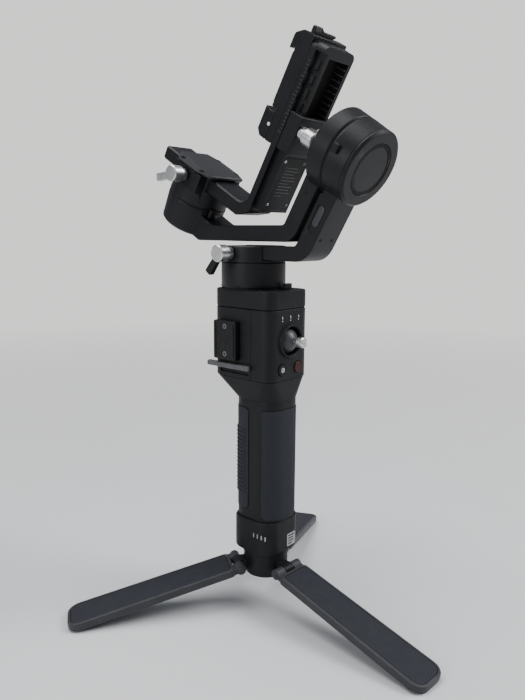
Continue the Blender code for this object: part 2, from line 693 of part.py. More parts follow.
def trigger(handle):
    """A finger paddle on the front, hinged at its top."""
    half = TRIGGER_HEIGHT / 2 - 0.0004
    hinge = frame("trigger_hinge", handle, (0, HOUSING_FRONT - 0.0030, HOUSING_LOW + TRIGGER_LEVEL + half - 0.002))
    reach = TRIGGER_REACH
    outline = rounded([(-0.0016, 0.0018, 0.0012), (-0.0016, -2 * half + 0.004, 0.0012),
                       (reach + 0.0028, -2 * half + 0.0022, 0.0014), (reach - 0.0005, -half * 1.1, 0.010),
                       (reach - 0.0015, -half * 0.5, 0.006), (0.0026, 0.0018, 0.0014)][::-1], 4)
    paddle = place("trigger", prism(outline, -TRIGGER_WIDTH / 2, TRIGGER_WIDTH / 2, "X"), "charcoal", hinge)
    return soften(paddle, 0.0006)


def grip_latch(handle):
    """The flat lever that locks the battery grip, along the left side."""
    z = HOUSING_LOW + LATCH_HEIGHT
    hinge = frame("grip_latch_hinge", handle, (-HOUSING_HALF - 0.0020, SPLIT_Y + 0.0015, z))
    outline = rounded([(-0.0016, -0.0020, 0.0014), (0.0016, -0.0020, 0.0014), (0.0016, LATCH_LENGTH, 0.0008),
                       (-0.0024, LATCH_LENGTH, 0.0008)], 3)
    lever = place("grip_latch", prism(outline, -0.0018, 0.0018), "leg_grey", hinge)
    return soften(lever, 0.0005)


def main_board(handle):
    board = place("main_board", box((-0.0160, 0.0020, HOUSING_LOW + 0.0050), (0.0160, 0.0036, HOUSING_LOW + 0.0470)),
                  "board", handle)
    for x, z in ((-0.008, 0.018), (0.006, 0.034), (0.007, 0.014)):
        add(board, box((x - 0.004, 0.0030, HOUSING_LOW + z - 0.004), (x + 0.004, 0.0048, HOUSING_LOW + z + 0.004)))
    return board


# --- Motors ---

def stator(name, parent, low, high, radius, at=(0, 0, 0), turn=(0, 0, 0)):
    """A laminated core on a bearing tube."""
    tube, bore = STATOR_TUBE, BEARING_RADIUS + GAP
    core_low, core_high = low + 0.0030, high - 0.0012
    return turned(name, [
        (tube, high), (tube, core_high), (radius, core_high), (radius, core_low), (tube, core_low),
        (tube, low), (bore, low), (bore, high)], "copper", parent, at, turn, 48, closed=True)


def bearing(name, parent, middle, at=(0, 0, 0), turn=(0, 0, 0)):
    half = BEARING_WIDTH / 2
    inner = SHAFT_RADIUS + GAP
    return turned(name, [
        (BEARING_RADIUS, middle + half), (BEARING_RADIUS, middle - half), (inner, middle - half),
        (inner, middle + half)], "steel", parent, at, turn, 40, closed=True)


def pan_motor(handle, pan):
    stator("pan_stator", handle, HOUSING_TOP + GAP, DRUM_LOW + PAN_DRUM_HEIGHT - MOTOR_WALL - 0.0008,
           PAN_RADIUS - MOTOR_WALL - STATOR_LIP, (0, PAN_Y, 0))
    bearing("pan_bearing", handle, DRUM_LOW + PAN_DRUM_HEIGHT / 2, (0, PAN_Y, 0))
    inner = PAN_RADIUS - MOTOR_WALL
    roof = PAN_DRUM_HEIGHT - MOTOR_WALL
    drum = turned("pan_drum", [
        (0, PAN_DRUM_HEIGHT), (PAN_RADIUS - 0.0005, PAN_DRUM_HEIGHT), (PAN_RADIUS, PAN_DRUM_HEIGHT - 0.0006),
        (PAN_RADIUS, 0.0012), (PAN_RADIUS - 0.0006, 0.0004), (PAN_RADIUS - 0.0006, 0), (inner, 0),
        (inner, roof), (0, roof)], "anodised", pan, segments=44)
    shaft = turned("pan_shaft", [
        (0, roof - GAP), (SHAFT_RADIUS + 0.003, roof - GAP), (SHAFT_RADIUS + 0.003, roof - 0.0007),
        (SHAFT_RADIUS, roof - 0.0007), (SHAFT_RADIUS, 0.0005), (0, 0.0005)], "steel", pan, segments=32)
    return drum, shaft


def pan_clamp(pan):
    """The split cap that grips the pan arm's tail, with the hole for its lever's shank."""
    low, high = CLAMP_LOW, CLAMP_LOW + CLAMP_HEIGHT
    clamp = turned("pan_clamp", [
        (0, high), (PAN_RADIUS - 0.0008, high), (PAN_RADIUS, high - 0.0008), (PAN_RADIUS, low), (0, low)],
        "anodised", pan, segments=44)
    slot = PAN_ARM_WIDTH / 2 + GAP
    cut(clamp, box((-slot, -0.05, low + CLAMP_FLOOR), (slot, 0.05, high + 0.01)))
    cut(clamp, bar((-PAN_RADIUS - 0.002, 0.001, PAN_ARM_LEVEL), (-slot - 0.002, 0.001, PAN_ARM_LEVEL),
                   SHANK_RADIUS + GAP, segments=20))
    hinge = frame("pan_lever_axis", pan, (-PAN_RADIUS - 0.0006, 0.001, PAN_ARM_LEVEL), (0, 0, math.pi))
    clamp_lever("pan_clamp_lever", hinge, (-0.62, -0.78))
    return clamp


def slide_lock(name, parent, at, low, high, turn=(0, 0, 0)):
    """The small slider of an axis lock."""
    guide = frame(name + "_guide", parent, at, turn)
    return soften(place(name, box(low, high), "charcoal", guide), 0.0004)


# --- Arms ---

def level_point(offset, height, back=ROLL_BACK, rise=ROLL_RISE):
    """Where a face of a slanted post, this far along the roll axis from its motor's seam, meets a height."""
    along = (height - rise - offset * math.sin(SLANT)) / math.cos(SLANT)
    return -back + offset * math.cos(SLANT) - along * math.sin(SLANT), height


def post_point(offset, along):
    """A point of a slanted post in the level frame of the pan arm."""
    return (-ROLL_BACK + offset * math.cos(SLANT) - along * math.sin(SLANT),
            ROLL_RISE + offset * math.sin(SLANT) + along * math.cos(SLANT))


def pan_arm(arm_frame, roll):
    half = PAN_ARM_THICKNESS / 2
    inner, outer = level_point(PAN_POST_INNER, half), level_point(PAN_POST_OUTER, -half)
    into_drum = 0.004
    outline = rounded([
        (PAN_ARM_TAIL, half, 0.001), (*inner, 0.006), (*post_point(PAN_POST_INNER, into_drum), 0),
        (*post_point(PAN_POST_OUTER, into_drum), 0), (*outer, 0.016), (PAN_ARM_TAIL, -half, 0.001)])
    side = PAN_ARM_WIDTH / 2
    arm = place("pan_arm", prism(outline, -side, side, "X"), "anodised", arm_frame)
    soften(arm, 0.0012, 2)
    back = -ROLL_OUTER_LENGTH + ROLL_CAP_THICKNESS + GAP
    wall = MOTOR_WALL
    inner_radius = ROLL_SEAM_RADIUS - wall
    shell = turned("roll_drum_outer", [
        (0, back + wall), (inner_radius, back + wall), (inner_radius, -SEAM_HALF),
        (ROLL_SEAM_RADIUS - 0.0004, -SEAM_HALF), (ROLL_SEAM_RADIUS, -SEAM_HALF - 0.0010),
        (ROLL_CAP_RADIUS, back), (0, back)], "anodised", roll, turn=ALONG_Y, segments=44)
    hollow = place("roll_drum_hollow", bar((0, back + wall, 0), (0, 0.002, 0), inner_radius,
                                            segments=44),
                   "charcoal", roll)
    combine(arm, shell, "UNION")
    combine(arm, hollow, "DIFFERENCE")
    sweep = place("roll_drum_sweep", bar((0, 0.00005 - SEAM_HALF, 0), (0, 0.03, 0),
                                         ROLL_FRONT_RADIUS + ROLL_SWEEP_GAP, segments=44), "charcoal", roll)
    combine(arm, sweep, "DIFFERENCE")
    inset = 0.0030
    corners = ((PAN_POST_OUTER + inset, -0.052), (PAN_POST_INNER - inset, -0.052),
               (PAN_POST_INNER - inset, -0.032), (PAN_POST_OUTER + inset, -0.032))
    groove = rounded([(*post_point(*corner), 0.002) for corner in corners], 3)
    return cut(arm, prism(groove, -side - 0.001, -side + 0.0008, "X"))


def roll_motor(roll_fixed):
    back = -ROLL_OUTER_LENGTH
    cap_top = back + ROLL_CAP_THICKNESS
    radius = ROLL_CAP_RADIUS
    turned("roll_cap", [
        (0, cap_top), (radius, cap_top), (radius, back + 0.0014), (radius - 0.0016, back), (radius * 0.70, back),
        (radius * 0.68, back + 0.0010), (radius * 0.60, back + 0.0010), (radius * 0.58, back + 0.0003),
        (0, back + 0.0003)], "anodised", roll_fixed, turn=ALONG_Y, segments=44)
    low = cap_top + GAP + MOTOR_WALL + GAP
    stator("roll_stator", roll_fixed, low, -SEAM_HALF, ROLL_SEAM_RADIUS - MOTOR_WALL - STATOR_LIP, turn=ALONG_Y)
    return bearing("roll_bearing", roll_fixed, low / 2, turn=ALONG_Y)


def roll_arm(roll, tilt):
    """The arm from the roll motor to the tilt motor, with half of each motor's housing."""
    low, high = ROLL_ARM_LOW, ROLL_ARM_LOW + ROLL_ARM_THICKNESS
    inner, outer = level_point(ROLL_POST_INNER, high), level_point(ROLL_POST_OUTER, low)
    drum_rear = TILT_REACH - TILT_BOTTOM_RADIUS
    floor = 0.0006 - TILT_DROP - TILT_LOWER_LENGTH
    shoulder = LOCK_SHELF - TILT_DROP
    floor_start = (low - ROLL_RISE - floor * math.cos(SLANT)) / math.sin(SLANT)
    shelf_start = (high - ROLL_RISE - shoulder * math.cos(SLANT)) / math.sin(SLANT)
    outline = rounded([
        (*outer, 0.014), (*post_point(floor_start, floor), 0.002), (*post_point(TILT_REACH - 0.004, floor), 0),
        (*post_point(drum_rear + 0.010, shoulder), 0), (*post_point(shelf_start, shoulder), 0.010), (*inner, 0.004), (*post_point(ROLL_POST_INNER, -0.006), 0.003),
        (*post_point(ROLL_POST_OUTER, -0.004), 0)])
    level = [(y + ROLL_BACK, z - ROLL_RISE) for y, z in outline]
    side = ROLL_ARM_WIDTH / 2
    arm = place("roll_arm", prism(level, -side, side, "X"), "anodised", roll, turn=(-SLANT, 0, 0))
    soften(arm, 0.0012, 2)
    wall = MOTOR_WALL
    length = ROLL_INNER_LENGTH
    shell = turned("roll_drum_inner", [
        (0, length), (ROLL_FRONT_RADIUS - 0.0020, length), (ROLL_FRONT_RADIUS, length - 0.0020),
        (ROLL_SEAM_RADIUS + 0.0001, SEAM_HALF + 0.0010), (ROLL_SEAM_RADIUS - 0.0003, SEAM_HALF), (0, SEAM_HALF)],
        "anodised", roll, turn=ALONG_Y, segments=44)
    hollow = place("roll_inner_hollow", bar((0, -0.002, 0), (0, length - wall, 0), ROLL_SEAM_RADIUS - wall,
                                            segments=44), "charcoal", roll)
    combine(arm, shell, "UNION")
    combine(arm, hollow, "DIFFERENCE")
    add(arm, bar((0, length - wall + 0.0005, 0), (0, -ROLL_OUTER_LENGTH + ROLL_CAP_THICKNESS + MOTOR_WALL + 0.0012, 0),
                 SHAFT_RADIUS, segments=32))
    bottom = turned("tilt_drum_lower", [
        (0, -SEAM_HALF), (TILT_RADIUS - 0.0004, -SEAM_HALF), (TILT_RADIUS, -SEAM_HALF - 0.0010),
        (TILT_BOTTOM_RADIUS, -TILT_LOWER_LENGTH + 0.0014), (TILT_BOTTOM_RADIUS - 0.0014, -TILT_LOWER_LENGTH),
        (0, -TILT_LOWER_LENGTH)], "anodised", tilt, segments=44)
    combine(arm, bottom, "UNION")
    hollow = place("tilt_lower_hollow", bar((0, 0, -TILT_LOWER_LENGTH + wall), (0, 0, 0.002), TILT_BOTTOM_RADIUS - wall,
                                            segments=44), "charcoal", tilt)
    combine(arm, hollow, "DIFFERENCE")
    return arm


def tilt_motor(roll_side, tilt):
    stator("tilt_stator", roll_side, -TILT_LOWER_LENGTH + MOTOR_WALL + GAP, -SEAM_HALF - 0.0004,
           TILT_BOTTOM_RADIUS - MOTOR_WALL - STATOR_LIP)
    bearing("tilt_bearing", roll_side, -TILT_LOWER_LENGTH / 2)
    upper, walls = TILT_UPPER_LENGTH, TILT_UPPER_LENGTH + TILT_CLAMP_HEIGHT
    base = turned("tilt_clamp", [
        (0, walls), (TILT_TOP_RADIUS - 0.0006, walls), (TILT_TOP_RADIUS - 0.0006, upper),
        (TILT_TOP_RADIUS, upper - 0.0006), (TILT_RADIUS, SEAM_HALF + 0.0010), (TILT_RADIUS - 0.0004, SEAM_HALF),
        (SHAFT_RADIUS, SEAM_HALF), (SHAFT_RADIUS, -TILT_LOWER_LENGTH + MOTOR_WALL + 0.0012),
        (0, -TILT_LOWER_LENGTH + MOTOR_WALL + 0.0012)], "anodised", tilt, segments=44)
    ear = TOP_SCREW_Y + 0.0040
    add(base, box((-TOP_PLATE_HALF_WIDTH + 0.001, -ear, upper - 0.0030), (TOP_PLATE_HALF_WIDTH - 0.001, ear, walls)))
    slot = UPRIGHT_WIDTH / 2 + GAP
    cut(base, box((-slot, -0.05, upper), (slot, 0.05, walls + 0.01)))
    for x in (-TOP_SCREW_X, TOP_SCREW_X):
        for y in (-TOP_SCREW_Y, TOP_SCREW_Y):
            cut(base, bar((x, y, walls - 0.0060), (x, y, walls + 0.001), 0.0015, segments=16))
    level = upper + TILT_CLAMP_HEIGHT * 0.42
    cut(base, bar((-0.03, 0.0006, level), (-slot - 0.0014, 0.0006, level), SHANK_RADIUS + GAP, segments=20))
    hinge = frame("tilt_lever_axis", tilt, (-TOP_PLATE_HALF_WIDTH - 0.0002, 0.0006, level), (0, 0, math.pi))
    clamp_lever("tilt_clamp_lever", hinge, (-0.80, -0.60))
    return base


def tilt_top_plate(tilt):
    low = TILT_UPPER_LENGTH + TILT_CLAMP_HEIGHT + GAP
    x, y = TOP_PLATE_HALF_WIDTH, TOP_PLATE_HALF_LENGTH
    flat = x - 0.0085
    outline = [(x, -y * 0.42), (x, y * 0.55), (flat, y), (-flat, y), (-x, y * 0.55), (-x, -y * 0.42),
               (-flat - 0.003, -y), (flat + 0.003, -y)]
    plate = place("tilt_top_plate", prism(outline, low, low + TOP_PLATE_THICKNESS), "anodised", tilt)
    soften(plate, 0.0008)
    number = 0
    for sx in (-1, 1):
        cut(plate, prism([(0, 0), (0.009, 0), (0.009, -0.0016)], -0.04, 0.04, "Y"),
            at=(sx * (flat - 0.0005), 0, low + TOP_PLATE_THICKNESS), turn=(0, 0, 0 if sx > 0 else math.pi))
        for sy in (-1, 1):
            number += 1
            spot = (sx * TOP_SCREW_X, sy * TOP_SCREW_Y)
            cut(plate, bar((*spot, low + 0.0009), (*spot, low + 0.006), TOP_SCREW_RADIUS + GAP, segments=20))
            cut(plate, bar((*spot, low - 0.001), (*spot, low + 0.002), 0.0015, segments=16))
            screw_head(f"top_plate_screw_{number}", tilt, (*spot, low + 0.0021 + GAP), (0, 0, 1),
                       TOP_SCREW_RADIUS - GAP / 2, 0.0060)
    return plate


# --- Camera arm ---

def long_leg_sides():
    near = -UPRIGHT_WIDTH / 2
    return near, near + LONG_LEG_WIDTH


def camera_arm(arm):
    """An L: the upright leg lies along Y through the tilt clamp, and the long leg stands along Z."""
    half = UPRIGHT_THICKNESS / 2
    face = -LONG_LEG_BACK
    rim, back = face - RIM_THICKNESS, face - RIM_THICKNESS - BODY_THICKNESS
    near, far = long_leg_sides()
    outline = rounded([
        (UPRIGHT_FRONT, -half, 0.002), (UPRIGHT_FRONT, half, 0.002), (face, half, 0.0090), (face, 0.0200, 0),
        (rim, 0.0200, 0), (rim, half - 0.0030, 0.0030), (rim + 0.0105, -half, 0.003)][::-1], 4)[::-1]
    leg_piece = place("camera_arm", prism(outline, near, UPRIGHT_WIDTH / 2, "X"), "anodised", arm)
    soften(leg_piece, 0.0010)
    add(leg_piece, prism(rounded([
        (near, half - 0.0010, 0), (far, half - 0.0010, 0.006), (far, LONG_LEG_TOP, 0.005),
        (near, LONG_LEG_TOP, 0.005)], 4), rim, face, "Y"))
    inner_near, inner_far = near + BODY_INSET, far - BODY_INSET
    add(leg_piece, box((inner_near, back, half + 0.0020), (inner_far, rim + 0.0010, LONG_LEG_TOP - 0.0030)))
    end = rounded([(near, LONG_LEG_TOP - 0.0050, 0), (inner_far, LONG_LEG_TOP - 0.0050, 0),
                   (inner_far, LONG_LEG_TOP, 0.0042), (near, LONG_LEG_TOP, 0.0042)], 3)
    add(leg_piece, prism(end, back, rim + 0.0010, "Y"))
    wall = POCKET_WALL
    cut(leg_piece, box((inner_near + wall, back - 0.001, POCKET_LOW), (inner_far - wall, rim + 0.0010, POCKET_HIGH)))
    pitch = (POCKET_HIGH - POCKET_LOW - 0.020) / SLOT_COUNT
    for i in range(SLOT_COUNT):
        low = POCKET_LOW + 0.020 + i * pitch
        cut(leg_piece, box((inner_near - 0.001, back + 0.0018, low), (inner_near + wall + 0.001, rim - 0.0016,
                                                                     low + pitch * 0.68)))
    margin = 0.0018
    recess = rounded([(inner_near + margin, COVER_LOW, 0.002), (inner_far - margin, COVER_LOW, 0.002),
                      (inner_far - margin, COVER_HIGH, 0.002), (inner_near + margin, COVER_HIGH, 0.002)], 3)
    cut(leg_piece, prism(recess, back - 0.001, back + COVER_THICKNESS + GAP, "Y"))
    panel = rounded([(inner_near + margin + GAP, COVER_LOW + GAP, 0.002), (inner_far - margin - GAP, COVER_LOW + GAP, 0.002),
                     (inner_far - margin - GAP, COVER_HIGH - GAP, 0.002), (inner_near + margin + GAP, COVER_HIGH - GAP, 0.002)], 3)
    return place("camera_arm_cover", prism(panel, back, back + COVER_THICKNESS, "Y"), "charcoal", arm)


def carriage(slide):
    """A jaw-shaped block round the long leg, joined to the camera plate on the far side."""
    near, far = long_leg_sides()
    face = -LONG_LEG_BACK
    rim, back = face - RIM_THICKNESS, face - RIM_THICKNESS - BODY_THICKNESS
    outer = back - GAP - CARRIAGE_WALL
    front = face + GAP + PLATE_THICKNESS
    points = [
        (near, outer), (far + GAP + CARRIAGE_WALL, outer), (far + GAP + CARRIAGE_WALL, front - 0.002),
        (far + GAP, front - 0.002), (far + GAP, rim - GAP), (far - BODY_INSET + GAP, rim - GAP),
        (far - BODY_INSET + GAP, back - GAP), (near + BODY_INSET - GAP, back - GAP),
        (near + BODY_INSET - GAP, rim - GAP), (near, rim - GAP)]
    block = place("carriage", prism(points, 0, CARRIAGE_LENGTH), "anodised", slide)
    soften(block, 0.0005)
    middle = CARRIAGE_LENGTH * 0.62
    spot = near + 0.0050
    cut(block, bar((spot, outer - 0.001, middle), (spot, back + 0.001, middle), SHANK_RADIUS + GAP, segments=20))
    hinge = frame("carriage_lever_axis", slide, (spot, outer - 0.0004, middle), (0, 0, math.radians(-90)))
    clamp_lever("carriage_lever", hinge, (0.80, 0.60), CARRIAGE_WALL - GAP)
    return block


def camera_plate(slide):
    near, far = long_leg_sides()
    low = -LONG_LEG_BACK + GAP
    floor = low + PLATE_THICKNESS
    top = PLATE_LENGTH
    step = floor - JAW_STEP
    side = rounded([
        (low, 0, 0.001), (step, 0, 0.001), (step, JAW_LENGTH + GAP, 0), (floor, JAW_LENGTH + GAP, 0),
        (floor, JAW_LENGTH + GAP + LAND_MARGIN, 0), (floor + LAND_HEIGHT, JAW_LENGTH + GAP + LAND_MARGIN, 0),
        (floor + LAND_HEIGHT, top - LIP_WIDTH - LAND_MARGIN, 0), (floor, top - LIP_WIDTH - LAND_MARGIN, 0),
        (floor, top - LIP_WIDTH, 0), (floor + LIP_HEIGHT, top - LIP_WIDTH - LIP_LEAN, 0),
        (floor + LIP_HEIGHT, top - 0.004, 0.003), (floor - 0.002, top, 0.003), (low, top, 0.001)][::-1], 3)[::-1]
    plate = place("camera_plate", prism(side, near, far, "X"), "anodised", slide)
    soften(plate, 0.0004)
    jaw_outline = rounded([
        (step + GAP, 0, 0.001), (floor + LIP_HEIGHT - 0.0035, 0.0004, 0.0015), (floor + LIP_HEIGHT, 0.0040, 0.0015),
        (floor + LIP_HEIGHT, JAW_LENGTH - 0.0010, 0.0005), (floor, JAW_LENGTH - 0.0026, 0), (step + GAP, JAW_LENGTH - 0.0026, 0)][::-1], 3)[::-1]
    jaw = place("plate_jaw", prism(jaw_outline, near, far, "X"), "anodised", slide)
    soften(jaw, 0.0004)
    lever_hinge = frame("plate_lever_axis", slide, (near + LEVER_REACH, floor - 0.0085, top + GAP))
    outline = rounded([
        (-LEVER_REACH, 0, 0.0005), (0, 0, 0), (0.0028, 0.0012, 0.0005), (0.0028, 0.0026, 0.0006), (-0.0100, 0.0026, 0.001),
        (-0.0130, 0.0046, 0.001), (-LEVER_REACH, 0.0046, 0.001)], 3)
    lever = place("plate_lever", prism(outline, -0.0016, 0.0016, "Y"), "leg_grey", lever_hinge)
    return soften(lever, 0.0005)


def build():
    handle = frame("handle")
    tripod_hub(handle)
    for number in range(1, LEG_COUNT + 1):
        leg(number, handle)
    grip_base(handle)
    grip_shell(handle)
    housing_rear(handle)
    housing_front(handle)
    top_cover(handle)
    accessory_rail(handle)
    joystick(handle)
    push_button("mode_button", handle, -BUTTON_SPREAD, "charcoal")
    push_button("record_button", handle, BUTTON_SPREAD, "red")
    power_button(handle)
    trigger(handle)
    grip_latch(handle)
    main_board(handle)

    pan = frame("pan_axis", handle, (0, PAN_Y, DRUM_LOW))
    pan_motor(handle, pan)
    pan_clamp(pan)
    slide_lock("pan_lock", handle, (0.0065, PAN_Y - PAN_RADIUS - PAN_LOCK_GAP, HOUSING_TOP + GAP),
               (-0.004, -0.0016, 0), (0.004, 0.0016, 0.0040))

    arm = frame("pan_arm_slide", pan, (0, 0, PAN_ARM_LEVEL))
    roll_fixed = frame("roll_motor_frame", arm, (0, -ROLL_BACK, ROLL_RISE), (SLANT, 0, 0))
    pan_arm(arm, roll_fixed)
    roll = frame("roll_axis", roll_fixed)
    roll_motor(roll_fixed)
    tilt_fixed = frame("tilt_motor_frame", roll, (0, TILT_REACH, -TILT_DROP))
    tilt = frame("tilt_axis", tilt_fixed)
    roll_arm(roll, tilt_fixed)
    slide_lock("roll_lock", roll_fixed, (-ROLL_SEAM_RADIUS - 0.0008, -0.0050, 0.0060), (-0.0010, -0.0022, -0.0030),
               (0.0006, 0.0022, 0.0030))
    tilt_motor(tilt_fixed, tilt)
    tilt_top_plate(tilt)
    slide_lock("tilt_lock", tilt_fixed, (-0.0060, -TILT_RADIUS - 0.0016, LOCK_SHELF + GAP),
               (-0.0030, -0.0014, 0), (0.0030, 0.0010, 0.0070))
    upright = frame("camera_arm_slide", tilt, (0, 0, TILT_UPPER_LENGTH + GAP + UPRIGHT_THICKNESS / 2))
    camera_arm(upright)
    slide = frame("carriage_slide", upright, (0, 0, CARRIAGE_LOW))
    carriage(slide)
    camera_plate(slide)


clear_scene()
PARTS = new_collection("gimbal_stabilizer")
TOOLS = new_collection("cutting_shapes")
LOOKS = make_looks()
build()
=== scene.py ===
"""Finishes and fine detail for a handheld three-axis gimbal stabilizer, with a plain studio stage.

Everything is in metres in the packed frame: +Z up the grip, +Y to the front, and the origin under the
tripod hub.
"""

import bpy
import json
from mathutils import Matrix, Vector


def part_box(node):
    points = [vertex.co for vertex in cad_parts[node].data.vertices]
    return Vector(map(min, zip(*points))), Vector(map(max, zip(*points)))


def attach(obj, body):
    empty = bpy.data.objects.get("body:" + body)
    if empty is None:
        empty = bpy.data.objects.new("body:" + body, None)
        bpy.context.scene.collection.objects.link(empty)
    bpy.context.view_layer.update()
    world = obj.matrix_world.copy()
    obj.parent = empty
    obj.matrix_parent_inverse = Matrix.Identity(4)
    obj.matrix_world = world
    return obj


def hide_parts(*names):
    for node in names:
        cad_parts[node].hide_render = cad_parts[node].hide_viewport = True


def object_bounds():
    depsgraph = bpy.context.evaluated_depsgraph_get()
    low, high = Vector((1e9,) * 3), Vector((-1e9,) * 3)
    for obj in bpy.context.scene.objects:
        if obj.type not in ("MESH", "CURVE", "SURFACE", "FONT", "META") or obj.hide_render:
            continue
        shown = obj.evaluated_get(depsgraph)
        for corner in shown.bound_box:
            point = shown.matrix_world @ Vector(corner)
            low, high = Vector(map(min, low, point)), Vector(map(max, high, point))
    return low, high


bl_info = {
    "name": "Gimbal Stabilizer Finishes",
    "version": (1, 0, 0),
    "blender": (4, 5, 0),
    "location": "View3D > Sidebar > Stabilizer",
    "description": "Adds the finishes, fine detail and studio stage of a handheld gimbal stabilizer",
    "category": "Object",
}

import json
import math

import bmesh
import bpy
from mathutils import Matrix, Vector

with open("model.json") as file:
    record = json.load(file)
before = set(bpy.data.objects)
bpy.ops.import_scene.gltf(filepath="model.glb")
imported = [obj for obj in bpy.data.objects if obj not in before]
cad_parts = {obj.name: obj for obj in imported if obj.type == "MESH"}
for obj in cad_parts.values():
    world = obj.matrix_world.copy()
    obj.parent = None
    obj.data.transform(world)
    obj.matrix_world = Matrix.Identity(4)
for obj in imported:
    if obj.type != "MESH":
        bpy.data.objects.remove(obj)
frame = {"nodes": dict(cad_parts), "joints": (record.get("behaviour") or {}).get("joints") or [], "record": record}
CAD_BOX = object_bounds()
NODES = frame["nodes"]
JOINTS = {joint["name"]: joint for joint in frame["joints"]}

# --- Places taken from the frame ---

MM = 0.001


def corners(node):
    low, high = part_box(node)
    return Vector(low), Vector(high)


BASE_LOW, BASE_HIGH = corners("grip_base")
FRONT_PAD_LOW, FRONT_PAD_HIGH = corners("front_grip_pad")
HOUSING_LOW, HOUSING_HIGH = corners("housing_front")
HOUSING_REAR_LOW = corners("housing_rear")[0]
RAIL_LOW, RAIL_HIGH = corners("accessory_rail")
DRUM_LOW, DRUM_HIGH = corners("pan_drum")
HUB_TOP = corners("tripod_hub")[1].z

SLANT = Matrix.Rotation(math.radians(30), 4, "X")
PAN = Matrix.Translation(JOINTS["pan"]["pos_m"])
ROLL = Matrix.Translation(JOINTS["roll"]["pos_m"]) @ SLANT
TILT = Matrix.Translation(JOINTS["tilt"]["pos_m"]) @ SLANT
CAMERA_ARM = TILT @ Matrix.Translation((0, 0, 18.7 * MM))
CARRIAGE = CAMERA_ARM @ Matrix.Translation((0, 0, 52 * MM))

# Turns that point a ring's or disc's +Z to the front, the back and the left.
TOWARDS_FRONT = Matrix.Rotation(math.radians(-90), 4, "X")
TOWARDS_BACK = Matrix.Rotation(math.radians(90), 4, "X")
TOWARDS_LEFT = Matrix.Rotation(math.radians(-90), 4, "Y")

# Faces of the slanted arms, in the turned frames above.
ARM_LEFT = -12.5 * MM
LONG_LEG_RIGHT = 22.9 * MM
LONG_LEG_FRONT = -56.8 * MM
LONG_LEG_RIM = LONG_LEG_FRONT - 5.0 * MM
LONG_LEG_BACK = LONG_LEG_FRONT - 12.5 * MM
POCKET_WALL = LONG_LEG_RIGHT - 7.0 * MM
CHANNEL_FLOOR = LONG_LEG_FRONT + 11.5 * MM
ROLL_CAP_FACE = -17.8 * MM


# --- Settings ---

class StabilizerSizes(bpy.types.PropertyGroup):
    """Sizes of the fine detail."""
    rib_count: bpy.props.IntProperty(
        name="Grip Ribs", description="Ribs across the front of the grip", default=17)
    rib_pitch: bpy.props.FloatProperty(
        name="Rib Pitch", description="From one grip rib to the next", default=3.05 * MM, unit="LENGTH")
    rib_width: bpy.props.FloatProperty(
        name="Rib Width", description="Height of one grip rib", default=1.55 * MM, unit="LENGTH")
    light_pitch: bpy.props.FloatProperty(
        name="Charge Light Pitch", description="From one charge light to the next", default=3.74 * MM,
        unit="LENGTH")
    tick_pitch: bpy.props.FloatProperty(
        name="Scale Pitch", description="From one scale line to the next on the camera arm", default=2.5 * MM,
        unit="LENGTH")
    pocket_ribs: bpy.props.IntProperty(
        name="Pocket Ribs", description="Ribs along the camera arm's pocket", default=14)


class StabilizerColours(bpy.types.PropertyGroup):
    """Base colours of the finishes."""
    charcoal: bpy.props.FloatVectorProperty(
        name="Charcoal", description="Moulded housing", subtype="COLOR", size=3,
        default=(0.0055, 0.0058, 0.0072))
    anodised: bpy.props.FloatVectorProperty(
        name="Anodised", description="Metal arms and motors", subtype="COLOR", size=3,
        default=(0.0085, 0.0088, 0.0108))
    rubber: bpy.props.FloatVectorProperty(
        name="Rubber", description="Grip and leg pads", subtype="COLOR", size=3,
        default=(0.0205, 0.0225, 0.0290))
    leg_grey: bpy.props.FloatVectorProperty(
        name="Leg Grey", description="Tripod legs", subtype="COLOR", size=3,
        default=(0.0360, 0.0365, 0.0420))
    silver: bpy.props.FloatVectorProperty(
        name="Silver", description="Levers and thumb stick", subtype="COLOR", size=3,
        default=(0.62, 0.62, 0.63))
    red: bpy.props.FloatVectorProperty(
        name="Record Red", description="Record button", subtype="COLOR", size=3,
        default=(0.034, 0.006, 0.006))
    print_white: bpy.props.FloatVectorProperty(
        name="Print", description="Printed marks", subtype="COLOR", size=3, default=(0.62, 0.63, 0.64))


def sizes():
    return bpy.context.scene.stabilizer_sizes


def colours():
    return bpy.context.scene.stabilizer_colours


# --- Shader node groups ---

def new_group(name, inputs, outputs):
    group = bpy.data.node_groups.new(name, "ShaderNodeTree")
    for label, default in inputs:
        socket = group.interface.new_socket(label, in_out="INPUT", socket_type="NodeSocketFloat")
        socket.default_value = default
    for label, kind in outputs:
        group.interface.new_socket(label, in_out="OUTPUT", socket_type=kind)
    return group, group.nodes.new("NodeGroupInput"), group.nodes.new("NodeGroupOutput")


def link(tree, source, target):
    tree.links.new(source, target)


def math_node(tree, operation, first, second=None, clamp=False):
    node = tree.nodes.new("ShaderNodeMath")
    node.operation = operation
    node.use_clamp = clamp
    for socket, value in zip(node.inputs, (first, second)):
        if value is None:
            continue
        if isinstance(value, (int, float)):
            socket.default_value = value
        else:
            link(tree, value, socket)
    return node.outputs[0]


def noise_node(tree, vector, scale, detail=3.0, roughness=0.55):
    node = tree.nodes.new("ShaderNodeTexNoise")
    node.inputs["Detail"].default_value = detail
    node.inputs["Roughness"].default_value = roughness
    if isinstance(scale, (int, float)):
        node.inputs["Scale"].default_value = scale
    else:
        link(tree, scale, node.inputs["Scale"])
    link(tree, vector, node.inputs["Vector"])
    return node.outputs["Fac"]


def range_node(tree, value, low, high, to_low, to_high):
    node = tree.nodes.new("ShaderNodeMapRange")
    for label, number in (("From Min", low), ("From Max", high), ("To Min", to_low), ("To Max", to_high)):
        node.inputs[label].default_value = number
    link(tree, value, node.inputs["Value"])
    return node.outputs["Result"]


